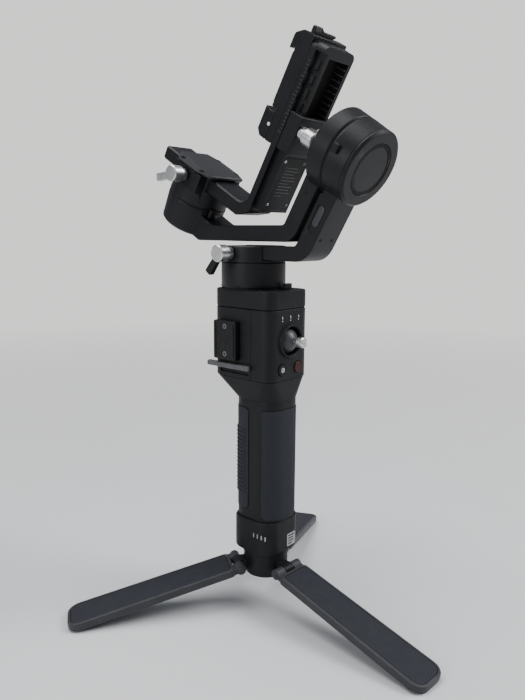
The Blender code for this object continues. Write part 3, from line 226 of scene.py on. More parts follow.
def mix_colour(tree, factor, first, second):
    node = tree.nodes.new("ShaderNodeMix")
    node.data_type = "RGBA"
    if isinstance(factor, (int, float)):
        node.inputs[0].default_value = factor
    else:
        link(tree, factor, node.inputs[0])
    for socket, value in ((node.inputs[6], first), (node.inputs[7], second)):
        if isinstance(value, tuple):
            socket.default_value = value
        else:
            link(tree, value, socket)
    return node.outputs[2]


def make_grain_group():
    """Fine spark-eroded or bead-blasted texture: pits and a slower waviness."""
    group, inp, out = new_group(
        "surface_grain", [("Scale", 2600.0), ("Pits", 0.6)],
        [("Height", "NodeSocketFloat"), ("Patches", "NodeSocketFloat")])
    place = group.nodes.new("ShaderNodeTexCoord").outputs["Object"]
    fine = noise_node(group, place, inp.outputs["Scale"], 2.0, 0.6)
    cells = group.nodes.new("ShaderNodeTexVoronoi")
    cells.feature = "SMOOTH_F1"
    link(group, place, cells.inputs["Vector"])
    link(group, math_node(group, "MULTIPLY", inp.outputs["Scale"], 0.55), cells.inputs["Scale"])
    pits = math_node(group, "MULTIPLY", cells.outputs["Distance"], inp.outputs["Pits"])
    link(group, math_node(group, "ADD", fine, pits), out.inputs["Height"])
    patches = noise_node(group, place, 55.0, 4.0, 0.6)
    link(group, range_node(group, patches, 0.32, 0.68, 0.0, 1.0), out.inputs["Patches"])
    return group


def make_edge_wear_and_highlight_group():
    """Where the surface turns sharply, broken up by noise: rubbed edges. Its normal rounds the edges."""
    group, inp, out = new_group(
        "rounded_edges", [("Radius", 0.0004), ("Amount", 0.6)],
        [("Mask", "NodeSocketFloat"), ("Normal", "NodeSocketVector")])
    bevel = group.nodes.new("ShaderNodeBevel")
    bevel.samples = 6
    link(group, inp.outputs["Radius"], bevel.inputs["Radius"])
    geometry = group.nodes.new("ShaderNodeNewGeometry")
    dot = group.nodes.new("ShaderNodeVectorMath")
    dot.operation = "DOT_PRODUCT"
    link(group, bevel.outputs["Normal"], dot.inputs[0])
    link(group, geometry.outputs["Normal"], dot.inputs[1])
    turned = math_node(group, "SUBTRACT", 1.0, dot.outputs["Value"], True)
    edge = range_node(group, turned, 0.02, 0.16, 0.0, 1.0)
    place = group.nodes.new("ShaderNodeTexCoord").outputs["Object"]
    broken = range_node(group, noise_node(group, place, 260.0, 5.0, 0.7), 0.40, 0.62, 0.15, 1.0)
    mask = math_node(group, "MULTIPLY", edge, broken)
    link(group, math_node(group, "MULTIPLY", mask, inp.outputs["Amount"], True), out.inputs["Mask"])
    link(group, bevel.outputs["Normal"], out.inputs["Normal"])
    return group


def make_dust_group():
    """Fine dust, thicker on faces that look up."""
    group, inp, out = new_group("fine_dust", [("Amount", 0.12)], [("Mask", "NodeSocketFloat")])
    geometry = group.nodes.new("ShaderNodeNewGeometry")
    split = group.nodes.new("ShaderNodeSeparateXYZ")
    link(group, geometry.outputs["Normal"], split.inputs[0])
    upward = range_node(group, split.outputs["Z"], 0.2, 1.0, 0.25, 1.0)
    place = group.nodes.new("ShaderNodeTexCoord").outputs["Object"]
    cloud = range_node(group, noise_node(group, place, 120.0, 6.0, 0.65), 0.35, 0.75, 0.0, 1.0)
    specks = range_node(group, noise_node(group, place, 1500.0, 2.0, 0.5), 0.62, 0.74, 0.0, 1.0)
    both = math_node(group, "ADD", cloud, specks, True)
    amount = math_node(group, "MULTIPLY", upward, inp.outputs["Amount"])
    link(group, math_node(group, "MULTIPLY", both, amount, True), out.inputs["Mask"])
    return group


def group_node(tree, name, **values):
    node = tree.nodes.new("ShaderNodeGroup")
    node.node_tree = bpy.data.node_groups[name]
    for label, value in values.items():
        node.inputs[label].default_value = value
    return node


def new_material(name):
    material = bpy.data.materials.new(name)
    material.use_nodes = True
    shader = material.node_tree.nodes["Principled BSDF"]
    return material, material.node_tree, shader


def four(colour, gain=1.0):
    return tuple(min(1.0, c * gain) for c in colour) + (1.0,)


def surface_material(name, colour, roughness, metallic=0.0, grain=2600.0, pits=0.6, bump=0.06, spread=0.10,
                     edge=0.5, edge_gain=2.6, radius=0.35 * MM, dust=0.03, specular=0.22, mottle=0.12):
    """A solid finish with grain, uneven roughness, rubbed edges and dust."""
    material, tree, shader = new_material(name)
    grain_node = group_node(tree, "surface_grain", Scale=grain, Pits=pits)
    edge_wear_and_highlight = group_node(tree, "rounded_edges", Radius=radius, Amount=edge)
    dirt = group_node(tree, "fine_dust", Amount=dust)
    tone = mix_colour(tree, grain_node.outputs["Patches"], four(colour, 1 - mottle),
                      four(colour, 1 + mottle))
    # The edges are lightened by edge_gain: partly rubbed wear, partly a painted highlight along the rims.
    worn_and_highlit = mix_colour(tree, edge_wear_and_highlight.outputs["Mask"], tone, four(colour, edge_gain))
    dusty = mix_colour(tree, dirt.outputs["Mask"], worn_and_highlit, (0.30, 0.29, 0.27, 1.0))
    link(tree, dusty, shader.inputs["Base Color"])
    uneven = range_node(tree, grain_node.outputs["Patches"], 0.0, 1.0, roughness - spread / 2,
                        roughness + spread / 2)
    smooth_edge = math_node(tree, "MULTIPLY", edge_wear_and_highlight.outputs["Mask"], -0.12)
    dull = math_node(tree, "MULTIPLY", dirt.outputs["Mask"], 0.4)
    rough = math_node(tree, "ADD", math_node(tree, "ADD", uneven, smooth_edge), dull, True)
    link(tree, rough, shader.inputs["Roughness"])
    shader.inputs["Metallic"].default_value = metallic
    shader.inputs["Specular IOR Level"].default_value = specular
    lumps = tree.nodes.new("ShaderNodeBump")
    lumps.inputs["Strength"].default_value = 1.0
    lumps.inputs["Distance"].default_value = bump * MM
    link(tree, grain_node.outputs["Height"], lumps.inputs["Height"])
    link(tree, edge_wear_and_highlight.outputs["Normal"], lumps.inputs["Normal"])
    link(tree, lumps.outputs["Normal"], shader.inputs["Normal"])
    return material


def turned_metal(name, colour, roughness):
    """Machined metal with fine marks and uneven shine."""
    material, tree, shader = new_material(name)
    place = tree.nodes.new("ShaderNodeTexCoord").outputs["Object"]
    marks = noise_node(tree, place, 3200.0, 2.0, 0.7)
    smear = noise_node(tree, place, 240.0, 5.0, 0.7)
    edge_wear_and_highlight = group_node(tree, "rounded_edges", Radius=0.25 * MM, Amount=0.5)
    tone = mix_colour(tree, smear, four(colour, 0.88), four(colour, 1.06))
    # The edges are lightened to 1.4 times the colour: partly rubbed wear, partly a painted highlight.
    link(tree, mix_colour(tree, edge_wear_and_highlight.outputs["Mask"], tone, four(colour, 1.4)), shader.inputs["Base Color"])
    rough = range_node(tree, smear, 0.3, 0.7, roughness - 0.07, roughness + 0.12)
    link(tree, rough, shader.inputs["Roughness"])
    shader.inputs["Metallic"].default_value = 1.0
    lumps = tree.nodes.new("ShaderNodeBump")
    lumps.inputs["Distance"].default_value = 0.005 * MM
    link(tree, marks, lumps.inputs["Height"])
    link(tree, edge_wear_and_highlight.outputs["Normal"], lumps.inputs["Normal"])
    link(tree, lumps.outputs["Normal"], shader.inputs["Normal"])
    return material


def winding_material():
    """Varnished copper wire in close turns over dark laminations."""
    material, tree, shader = new_material("motor_windings")
    place = tree.nodes.new("ShaderNodeTexCoord").outputs["Object"]
    turns = tree.nodes.new("ShaderNodeTexWave")
    turns.bands_direction = "DIAGONAL"
    turns.inputs["Scale"].default_value = 900.0
    turns.inputs["Distortion"].default_value = 1.5
    link(tree, place, turns.inputs["Vector"])
    link(tree, mix_colour(tree, turns.outputs["Fac"], (0.10, 0.030, 0.012, 1), (0.62, 0.26, 0.11, 1)),
         shader.inputs["Base Color"])
    link(tree, range_node(tree, turns.outputs["Fac"], 0.0, 1.0, 0.5, 0.25), shader.inputs["Roughness"])
    shader.inputs["Metallic"].default_value = 0.7
    lumps = tree.nodes.new("ShaderNodeBump")
    lumps.inputs["Distance"].default_value = 0.10 * MM
    link(tree, turns.outputs["Fac"], lumps.inputs["Height"])
    link(tree, lumps.outputs["Normal"], shader.inputs["Normal"])
    return material


def board_material():
    """Green solder mask with copper tracks beneath it."""
    material, tree, shader = new_material("circuit_board")
    place = tree.nodes.new("ShaderNodeTexCoord").outputs["Object"]
    tracks = tree.nodes.new("ShaderNodeTexBrick")
    tracks.inputs["Scale"].default_value = 300.0
    link(tree, place, tracks.inputs["Vector"])
    tracks.inputs["Color1"].default_value = (0.012, 0.075, 0.030, 1)
    tracks.inputs["Color2"].default_value = (0.010, 0.055, 0.024, 1)
    tracks.inputs["Mortar"].default_value = (0.030, 0.150, 0.050, 1)
    link(tree, tracks.outputs["Color"], shader.inputs["Base Color"])
    rough = range_node(tree, noise_node(tree, place, 700.0), 0.3, 0.7, 0.28, 0.42)
    link(tree, rough, shader.inputs["Roughness"])
    return material


def lamp_material(name, colour, strength):
    """A small translucent window with light behind it, brighter in its middle."""
    material, tree, shader = new_material(name)
    place = tree.nodes.new("ShaderNodeTexCoord").outputs["Object"]
    haze = noise_node(tree, place, 1800.0, 2.0)
    link(tree, mix_colour(tree, haze, four(colour, 0.8), four(colour, 1.1)), shader.inputs["Base Color"])
    link(tree, mix_colour(tree, haze, four(colour, 0.9), four(colour, 1.0)), shader.inputs["Emission Color"])
    shader.inputs["Emission Strength"].default_value = strength
    link(tree, range_node(tree, haze, 0.3, 0.7, 0.25, 0.4), shader.inputs["Roughness"])
    return material


BACKDROP = (1.15, 1.15, 1.13, 1)


def floor_material():
    """Pale matt sheet that glows as bright as the backdrop far from the object, so no horizon shows."""
    material, tree, shader = new_material("pale_floor")
    place = tree.nodes.new("ShaderNodeTexCoord").outputs["Object"]
    cloud = noise_node(tree, place, 6.0, 5.0)
    pale = (0.66, 0.67, 0.68)
    link(tree, mix_colour(tree, cloud, four(pale, 0.98), four(pale, 1.02)), shader.inputs["Base Color"])
    link(tree, range_node(tree, cloud, 0.3, 0.7, 0.50, 0.60), shader.inputs["Roughness"])
    reach = tree.nodes.new("ShaderNodeVectorMath")
    reach.operation = "LENGTH"
    link(tree, place, reach.inputs[0])
    far = range_node(tree, reach.outputs["Value"], 0.30, 1.60, 0.0, 1.0)
    glow = tree.nodes.new("ShaderNodeEmission")
    glow.inputs["Color"].default_value = BACKDROP
    mix = tree.nodes.new("ShaderNodeMixShader")
    link(tree, math_node(tree, "POWER", far, 0.7, True), mix.inputs["Fac"])
    link(tree, shader.outputs[0], mix.inputs[1])
    link(tree, glow.outputs[0], mix.inputs[2])
    link(tree, mix.outputs[0], tree.nodes["Material Output"].inputs["Surface"])
    return material


LOOKS = {}
NODE_LOOKS = {
    "grip_latch": "latch", "plate_lever": "anodised", "joystick_boot": "boot", "tilt_top_plate": "top_grey_painted_light",
    "top_plate_screw_1": "dark", "top_plate_screw_2": "dark", "top_plate_screw_3": "dark",
    "top_plate_screw_4": "dark"}
HIDDEN_NODES = {
    "tripod_screw", "battery_cell_1", "battery_cell_2", "main_board", "pan_stator", "pan_bearing",
    "pan_shaft", "roll_stator", "roll_bearing", "tilt_stator", "tilt_bearing"}


def make_looks():
    make_grain_group()
    make_edge_wear_and_highlight_group()
    make_dust_group()
    c = colours()
    LOOKS["charcoal"] = surface_material("charcoal_moulding", c.charcoal, 0.52, grain=2400.0, bump=0.05)
    LOOKS["anodised"] = surface_material(
        "black_anodised", c.anodised, 0.42, metallic=0.15, grain=4200.0, pits=0.4, bump=0.018, spread=0.08,
        edge=0.7, edge_gain=3.6, radius=0.45 * MM, dust=0.01, specular=0.22, mottle=0.06)
    # A lighter copy of the anodised finish for the tilt top plate: its lighter grey paints the light falling on
    # the plate's top.
    LOOKS["top_grey_painted_light"] = surface_material(
        "plate_grey_painted_light", (0.0190, 0.0195, 0.0225), 0.40, metallic=0.15, grain=4200.0, pits=0.4, bump=0.018,
        spread=0.06, edge=0.4, edge_gain=2.4, dust=0.0, specular=0.30, mottle=0.04)
    LOOKS["rubber"] = surface_material(
        "blue_grey_rubber", c.rubber, 0.74, grain=1500.0, pits=1.2, bump=0.10, spread=0.10, edge=0.25,
        edge_gain=1.8, radius=0.5 * MM, dust=0.02, specular=0.20, mottle=0.05)
    # The legs' strong edge lightening paints the highlight along their rims as well as wear.
    LOOKS["leg_grey"] = surface_material(
        "grey_moulding", c.leg_grey, 0.46, grain=2200.0, bump=0.04, edge=0.9, edge_gain=3.0,
        radius=0.5 * MM, dust=0.03)
    LOOKS["silver"] = turned_metal("satin_silver", c.silver, 0.34)
    LOOKS["steel"] = turned_metal("dark_steel", (0.16, 0.16, 0.17), 0.32)
    LOOKS["copper"] = winding_material()
    LOOKS["board"] = board_material()
    LOOKS["cell"] = surface_material("cell_sleeve", (0.03, 0.09, 0.26), 0.35, grain=900.0, bump=0.02)
    LOOKS["red"] = surface_material("record_red", c.red, 0.42, grain=2400.0, bump=0.03, edge=0.3)
    LOOKS["print"] = surface_material(
        "printed_mark", c.print_white, 0.60, grain=3000.0, bump=0.01, edge=0.0, dust=0.0)
    LOOKS["grey_print"] = surface_material(
        "faint_print", (0.11, 0.11, 0.115), 0.60, grain=3000.0, bump=0.01, edge=0.0, dust=0.0)
    # Near black, for black print, screws and the hub's band, and as painted shade in seams, grooves, notches, the
    # camera arm's pocket and the levers' drives.
    LOOKS["dark"] = surface_material(
        "black_and_painted_shade", (0.004, 0.004, 0.005), 0.70, grain=2400.0, bump=0.02, edge=0.0)
    LOOKS["latch"] = surface_material(
        "latch_grey", (0.085, 0.087, 0.094), 0.42, grain=2200.0, bump=0.03, edge=0.5)
    LOOKS["boot"] = surface_material(
        "stick_boot", (0.030, 0.033, 0.040), 0.42, grain=1800.0, bump=0.03, edge=0.2, specular=0.45)
    LOOKS["lever_black"] = surface_material(
        "lever_black", (0.0060, 0.0070, 0.0072), 0.58, grain=1300.0, pits=1.4, bump=0.12, edge=0.4)
    LOOKS["lamp"] = lamp_material("charge_window", (0.30, 0.31, 0.30), 0.05)
    LOOKS["label"] = surface_material(
        "silver_label", (0.36, 0.37, 0.38), 0.38, grain=2000.0, bump=0.01, edge=0.0)


# --- Mesh helpers ---

def keep_piece(name, bm, look, body, matrix=Matrix.Identity(4)):
    """Turns a bmesh into a finished piece that rides on a body."""
    bm.transform(matrix)
    bmesh.ops.recalc_face_normals(bm, faces=bm.faces)
    mesh = bpy.data.meshes.new(name)
    bm.to_mesh(mesh)
    bm.free()
    mesh.materials.append(LOOKS[look])
    mesh.shade_smooth()
    mesh.set_sharp_from_angle(angle=math.radians(35))
    piece = bpy.data.objects.new(name, mesh)
    bpy.context.scene.collection.objects.link(piece)
    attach(piece, body)
    return piece


def mm(*values):
    """A point given in millimetres."""
    return Vector(values) * MM


def profile_mm(*points):
    """A ring's profile, given in millimetres."""
    return [(radius * MM, height * MM) for radius, height in points]


def soften(bm, verts, edges, width, segments):
    """Bevels the edges and gives back the shape's points as they then are."""
    done = bmesh.ops.bevel(bm, geom=edges, offset=width, affect="EDGES", segments=segments, profile=0.5,
                           material=-1)
    return list({v for f in done["faces"] for v in f.verts} | {v for v in verts if v.is_valid})


def add_block(bm, low, high, corner=0.0, along="Z", soft=0.0, segments=3):
    """Adds a block whose four edges along one axis are rounded, and then its rims softened."""
    low, high = Vector(low), Vector(high)
    matrix = Matrix.Translation((low + high) / 2) @ Matrix.Diagonal((*(high - low), 1))
    made = bmesh.ops.create_cube(bm, size=1.0, matrix=matrix)
    verts = made["verts"]
    axis = "XYZ".index(along)

    def runs_along(edge):
        span = edge.verts[1].co - edge.verts[0].co
        return abs(span[axis]) > 0.999 * span.length

    def on_an_end(vert):
        return min(abs(vert.co[axis] - low[axis]), abs(vert.co[axis] - high[axis])) < 1e-7

    if corner:
        edges = [e for e in {e for v in verts for e in v.link_edges} if runs_along(e)]
        verts = soften(bm, verts, edges, corner, segments)
    if soft:
        edges = [e for e in {e for v in verts for e in v.link_edges}
                 if all(map(on_an_end, e.verts)) and not runs_along(e)]
        verts = soften(bm, verts, edges, soft, 2)
    return verts


def add_disc(bm, radius, low, high, top_radius=None, segments=32, matrix=Matrix.Identity(4)):
    """Adds a round solid along Z, straight or narrowing to its top."""
    made = bmesh.ops.create_cone(
        bm, cap_ends=True, segments=segments, radius1=radius,
        radius2=radius if top_radius is None else top_radius,
        depth=high - low, matrix=matrix @ Matrix.Translation((0, 0, (low + high) / 2)))
    return made["verts"]


def add_ring(bm, profile, segments=64, matrix=Matrix.Identity(4)):
    """Spins a closed profile of (radius, height) points about Z."""
    verts = [bm.verts.new((radius, 0, height)) for radius, height in profile]
    edges = [bm.edges.new((verts[i], verts[(i + 1) % len(verts)])) for i in range(len(verts))]
    bmesh.ops.spin(bm, geom=verts + edges, cent=(0, 0, 0), axis=(0, 0, 1), angle=math.tau,
                   steps=segments, use_merge=True)
    ring = set(verts)
    stack = list(verts)
    while stack:
        vert = stack.pop()
        found = {edge.other_vert(vert) for edge in vert.link_edges} - ring
        ring |= found
        stack.extend(found)
    bmesh.ops.transform(bm, matrix=matrix, verts=list(ring))


def add_screw(bm, radius, height, matrix):
    """Adds a socket screw's head with a hollow drive."""
    verts = add_disc(bm, radius, -height, height, radius * 0.94, 24, matrix)
    outward = matrix.to_3x3().col[2]
    top = max({f for v in verts for f in v.link_faces}, key=lambda f: f.calc_center_median().dot(outward))
    bmesh.ops.inset_individual(bm, faces=[top], thickness=radius * 0.45, depth=0)
    bmesh.ops.inset_individual(bm, faces=[top], thickness=0.00001, depth=-height * 1.4)


def facing(at, towards):
    """The matrix of a disc or screw at a point, its +Z turned to a direction."""
    return Matrix.Translation(at) @ Vector(towards).to_track_quat("Z", "Y").to_matrix().to_4x4()


# --- Pieces ---

def finish_nodes():
    """Gives each of the frame's own pieces its finish."""
    for entry in frame["record"]["subparts"]:
        node = NODES[entry["node"]]
        look = node_look(entry["node"], entry["material_slot"])
        if node.material_slots:
            for slot in node.material_slots:
                slot.material = look
        else:
            node.data.materials.append(look)


def node_look(name, material_slot):
    """The finish of a node: its slot's, unless it has one of its own."""
    return LOOKS[NODE_LOOKS.get(name, material_slot)]


def smooth_copies():
    """Stands a merged copy in for each moulded or turned piece, so that its curved faces shade smoothly."""
    slots = {entry["node"]: entry["material_slot"] for entry in frame["record"]["subparts"]}
    for body, names in frame["record"]["behaviour"]["bodies"].items():
        for name in names:
            if name in HIDDEN_NODES:
                continue
            bm = bmesh.new()
            bm.from_mesh(NODES[name].data)
            bmesh.ops.remove_doubles(bm, verts=bm.verts, dist=0.01 * MM)
            bmesh.ops.dissolve_limit(bm, angle_limit=math.radians(0.6), verts=bm.verts, edges=bm.edges)
            if name == "pan_clamp_lever":
                blacken_paddle(bm)
            mesh = bpy.data.meshes.new(name + "_finished")
            bm.to_mesh(mesh)
            bm.free()
            mesh.materials.append(node_look(name, slots[name]))
            if name == "pan_clamp_lever":
                mesh.materials.append(LOOKS["lever_black"])
            mesh.shade_smooth()
            mesh.set_sharp_from_angle(angle=math.radians(30))
            piece = bpy.data.objects.new(name + "_finished", mesh)
            bpy.context.scene.collection.objects.link(piece)
            even = piece.modifiers.new("flat_faces_stay_flat", "WEIGHTED_NORMAL")
            even.weight = 90
            even.keep_sharp = True
            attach(piece, body)
            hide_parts(name)


def blacken_paddle(bm):
    """Marks the faces of a lever that lie beyond its knob."""
    axis = Vector(JOINTS["pan_lever_turn"]["axis"])
    pivot = Vector(JOINTS["pan_lever_turn"]["pos_m"])
    for face in bm.faces:
        offset = face.calc_center_median() - pivot
        if (offset - axis * offset.dot(axis)).length > 7.0 * MM:
            face.material_index = 1


def grip_ribs():
    """Rounded finger ribs round the front of the grip."""
    s = sizes()
    bm = bmesh.new()
    half_x, front = FRONT_PAD_HIGH.x + 0.55 * MM, FRONT_PAD_HIGH.y + 0.55 * MM
    middle = (FRONT_PAD_LOW.z + FRONT_PAD_HIGH.z) / 2 - 2.5 * MM
    start = middle - s.rib_pitch * (s.rib_count - 1) / 2
    for i in range(s.rib_count):
        low = start + i * s.rib_pitch - s.rib_width / 2
        add_block(bm, (-half_x, -front, low), (half_x, front, low + s.rib_width), 14.5 * MM, "Z", 0.6 * MM,
                  10)
    edge = FRONT_PAD_LOW.y + 2.6 * MM
    geometry = bm.verts[:] + bm.edges[:] + bm.faces[:]
    cut = bmesh.ops.bisect_plane(bm, geom=geometry, plane_co=(0, edge, 0), plane_no=(0, -1, 0),
                                 clear_outer=True)
    rims = [e for e in cut["geom_cut"] if isinstance(e, bmesh.types.BMEdge)]
    bmesh.ops.holes_fill(bm, edges=rims)
    keep_piece("grip_front_ribs", bm, "rubber", "handle")


def grip_marks():
    """The charge lights, and the blank rating label with its bars."""
    s = sizes()
    centre = Vector((BASE_LOW.x, 0, (BASE_LOW.z + BASE_HIGH.z) / 2 + 2.2 * MM))
    bm = bmesh.new()
    for i in range(4):
        light = centre + Vector((0, -5.2 * MM - i * s.light_pitch, 0))
        add_block(bm, light - mm(0.06, 0.45, 1.7), light + mm(0.5, 0.45, 1.7), 0.4 * MM, "X")
    keep_piece("charge_lights", bm, "lamp", "handle")
    corner = Vector((0, BASE_LOW.y, BASE_LOW.z))
    bm = bmesh.new()
    add_block(bm, corner + mm(1.6, -0.05, 2.6), corner + mm(11.0, 0.4, 12.6), 0.8 * MM, "Y")
    keep_piece("blank_label", bm, "label", "handle")
    bm = bmesh.new()
    for i, width in enumerate((7.2, 5.6, 6.6, 4.2)):
        height = 10.9 - i * 2.1
        add_block(bm, corner + mm(2.8, -0.08, height - 0.5), corner + mm(2.8 + width, 0.2, height + 0.4))
    keep_piece("label_bars", bm, "dark", "handle")


def status_lights():
    """Three small lights above the thumb stick, and the recessed port on the right."""
    level = Vector((0, HOUSING_REAR_LOW.y, HOUSING_REAR_LOW.z + 45.6 * MM))
    bm = bmesh.new()
    for x in (-9.0, 0.0, 9.0):
        for step, half in ((0.0, 0.9), (-2.3, 0.45)):
            light = level + mm(x, 0, step)
            add_block(bm, light - mm(0.36, 0.05, half), light + mm(0.36, 0.3, half), 0.2 * MM, "Y")
    keep_piece("status_lights", bm, "print", "handle")
    bm = bmesh.new()
    port = Vector((HOUSING_HIGH.x, 0, HOUSING_LOW.z + 14.0 * MM))
    add_block(bm, port + mm(-4.5, 7.9, -0.35), port + mm(-1.0, 16.1, 0.35), 0.2 * MM, "X")
    keep_piece("port_tongue", bm, "steel", "handle")


def stick_details():
    """The dished collar round the thumb stick and the crown on its cap."""
    pivot = Vector(JOINTS["joystick_pitch_hinge"]["pos_m"])
    face = HOUSING_REAR_LOW.y
    outward = Matrix.Translation((pivot.x, face, pivot.z)) @ TOWARDS_BACK
    bm = bmesh.new()
    add_ring(bm, profile_mm((10.35, 1.10), (11.0, 2.0), (11.9, 1.95), (12.6, 0.6), (12.7, -0.3),
                            (10.35, -0.3)), 72, outward)
    keep_piece("stick_collar", bm, "charcoal", "handle")
    bm = bmesh.new()
    tip = Vector((0, 0, face - corners("joystick_cap")[0].y))
    for i in range(4):
        turn = Matrix.Rotation(math.radians(45 + 90 * i), 4, "Z")
        verts = add_block(bm, tip + mm(0.5, -0.9, -1.0), tip + mm(3.5, 0.9, 0.55), 0.4 * MM, "Z", 0.3 * MM)
        bmesh.ops.transform(bm, matrix=turn, verts=verts)
    keep_piece("stick_crown", bm, "silver", "joystick", outward)


def button_marks():
    """A ring and dot on the mode button, a dome on the record button, and their surrounds."""
    low, high = corners("mode_button")
    mode_level = (low.z + high.z) / 2
    outward = Matrix.Translation(((low.x + high.x) / 2, low.y, mode_level)) @ TOWARDS_BACK
    bm = bmesh.new()
    add_ring(bm, profile_mm((1.25, 0.06), (1.75, 0.06), (1.75, -0.2), (1.25, -0.2)), 32, outward)
    add_disc(bm, 0.55 * MM, -0.2 * MM, 0.06 * MM, matrix=outward)
    keep_piece("mode_button_mark", bm, "print", "mode_key")
    low, high = corners("record_button")
    outward = Matrix.Translation(((low.x + high.x) / 2, low.y, (low.z + high.z) / 2)) @ TOWARDS_BACK
    bm = bmesh.new()
    bmesh.ops.create_uvsphere(bm, u_segments=24, v_segments=12, radius=1.7 * MM,
                              matrix=outward @ Matrix.Translation(mm(0, 0, -1.55)))
    keep_piece("record_button_mark", bm, "red", "record_key")
    for side, name in ((-1, "left"), (1, "right")):
        x = side * (low.x + high.x) / 2
        bm = bmesh.new()
        add_ring(bm, profile_mm((4.62, 0.0), (5.0, 0.22), (5.5, 0.10), (5.7, -0.2), (4.62, -0.3)), 48,
                 Matrix.Translation((x, HOUSING_REAR_LOW.y, mode_level)) @ TOWARDS_BACK)
        keep_piece("button_surround_" + name, bm, "charcoal", "handle")


def rail_details():
    """Locating ridges down both edges of the accessory rail, and its middle boss."""
    face = RAIL_LOW.x
    bm = bmesh.new()
    for y in (RAIL_LOW.y + 2.2 * MM, RAIL_HIGH.y - 2.2 * MM):
        add_block(bm, Vector((face, y, RAIL_LOW.z)) + mm(-0.5, -0.7, 2.4),
                  Vector((face, y, RAIL_HIGH.z)) + mm(0.5, 0.7, -2.4), 0.6 * MM, "X", 0.2 * MM)
    keep_piece("rail_ridges", bm, "anodised", "handle")
    bm = bmesh.new()
    centre = (RAIL_LOW + RAIL_HIGH) / 2
    add_ring(bm, profile_mm((2.3, 0.05), (3.0, 0.25), (3.3, -0.2), (2.3, -0.3)), 40,
             Matrix.Translation((face, centre.y, centre.z)) @ TOWARDS_LEFT)
    keep_piece("rail_boss", bm, "anodised", "handle")


def pan_details():
    """The dark seam under the pan drum and the notches in its lower edge."""
    radius = (DRUM_HIGH.x - DRUM_LOW.x) / 2
    inner, outer = radius - 1.4 * MM, radius - 0.3 * MM
    bm = bmesh.new()
    # A dark ring painted as the shadow in the seam.
    add_ring(bm, [(inner, 0.0), (outer, 0.0), (outer, -0.75 * MM), (inner, -0.75 * MM)], 96,
             PAN @ Matrix.Translation(mm(0, 0, -0.05)))
    keep_piece("pan_seam_shadow", bm, "dark", "handle")
    bm = bmesh.new()
    # Dark blocks painted as the shade inside the drum's notches.
    rim = Vector((radius, 0, 0))
    for i in range(6):
        turn = PAN @ Matrix.Rotation(math.radians(60 * i + 12), 4, "Z")
        verts = add_block(bm, rim + mm(-1.0, -2.4, 0.3), rim + mm(0.10, 2.4, 1.7), 0.3 * MM, "X")
        bmesh.ops.transform(bm, matrix=turn, verts=verts)
    keep_piece("pan_drum_notch_shades", bm, "dark", "pan_rotor")


def roll_details():
    """Recessed ring of the roll motor's cap and its two sets of vents."""
    back = ROLL @ Matrix.Translation((0, ROLL_CAP_FACE, 0)) @ TOWARDS_BACK
    bm = bmesh.new()
    # A dark ring inside the groove, painted shade.
    add_ring(bm, profile_mm((15.2, -0.95), (15.2, -0.40), (17.6, -0.40), (17.6, -0.95)), 96, back)
    keep_piece("roll_cap_groove_shade", bm, "dark", "pan_beam")
    bm = bmesh.new()
    for angle in (32, 212):
        for step in range(-4, 5):
            turn = back @ Matrix.Rotation(math.radians(angle + step * 4.4), 4, "Z")
            verts = add_block(bm, mm(15.7, -0.35, -0.9), mm(17.2, 0.35, -0.15), 0.15 * MM, "Z")
            bmesh.ops.transform(bm, matrix=turn, verts=verts)
    keep_piece("roll_cap_vents", bm, "anodised", "pan_beam")


def arm_details():
    """The plain oval badge on the pan arm, and the dark screws of both arms."""
    bm = bmesh.new()
    matrix = ROLL @ Matrix.Translation((ARM_LEFT + 0.8 * MM, -4.9 * MM, -40.0 * MM)) @ TOWARDS_LEFT
    add_block(bm, mm(-7.2, -2.6, -0.3), mm(7.2, 2.6, 0.55), 2.5 * MM, "Z", 0.25 * MM, 8)
    keep_piece("arm_badge", bm, "leg_grey", "pan_beam", matrix)
    turned = ROLL.to_3x3()
    bm = bmesh.new()
    for x in (-7.2, 5.2):
        add_screw(bm, 1.15 * MM, 0.16 * MM, facing(ROLL @ mm(x, -11.4, -54.0), turned @ Vector((0, -1, 0))))
    keep_piece("pan_arm_screws", bm, "dark", "pan_beam")
    bm = bmesh.new()
    add_screw(bm, 0.9 * MM, 0.14 * MM,
              facing(ROLL @ Vector((ARM_LEFT, 11.6 * MM, -31.5 * MM)), turned @ Vector((-1, 0, 0))))
    keep_piece("roll_arm_screw", bm, "dark", "roll_beam")


def seam_profile(inner, outer, half):
    """The profile of the dark ring that fills a motor's seam, from millimetres."""
    return profile_mm((outer, -half), (outer, half), (inner, half), (inner, -half))


def tilt_details():
    """Dark seams round the tilt and roll motors."""
    bm = bmesh.new()
    add_ring(bm, seam_profile(21.0, 22.9, 0.45), 96, TILT)
    keep_piece("tilt_seam_shadow", bm, "dark", "roll_beam")
    bm = bmesh.new()
    add_ring(bm, seam_profile(24.6, 26.2, 0.45), 96, ROLL @ TOWARDS_FRONT)
    keep_piece("roll_seam_shadow", bm, "dark", "pan_beam")


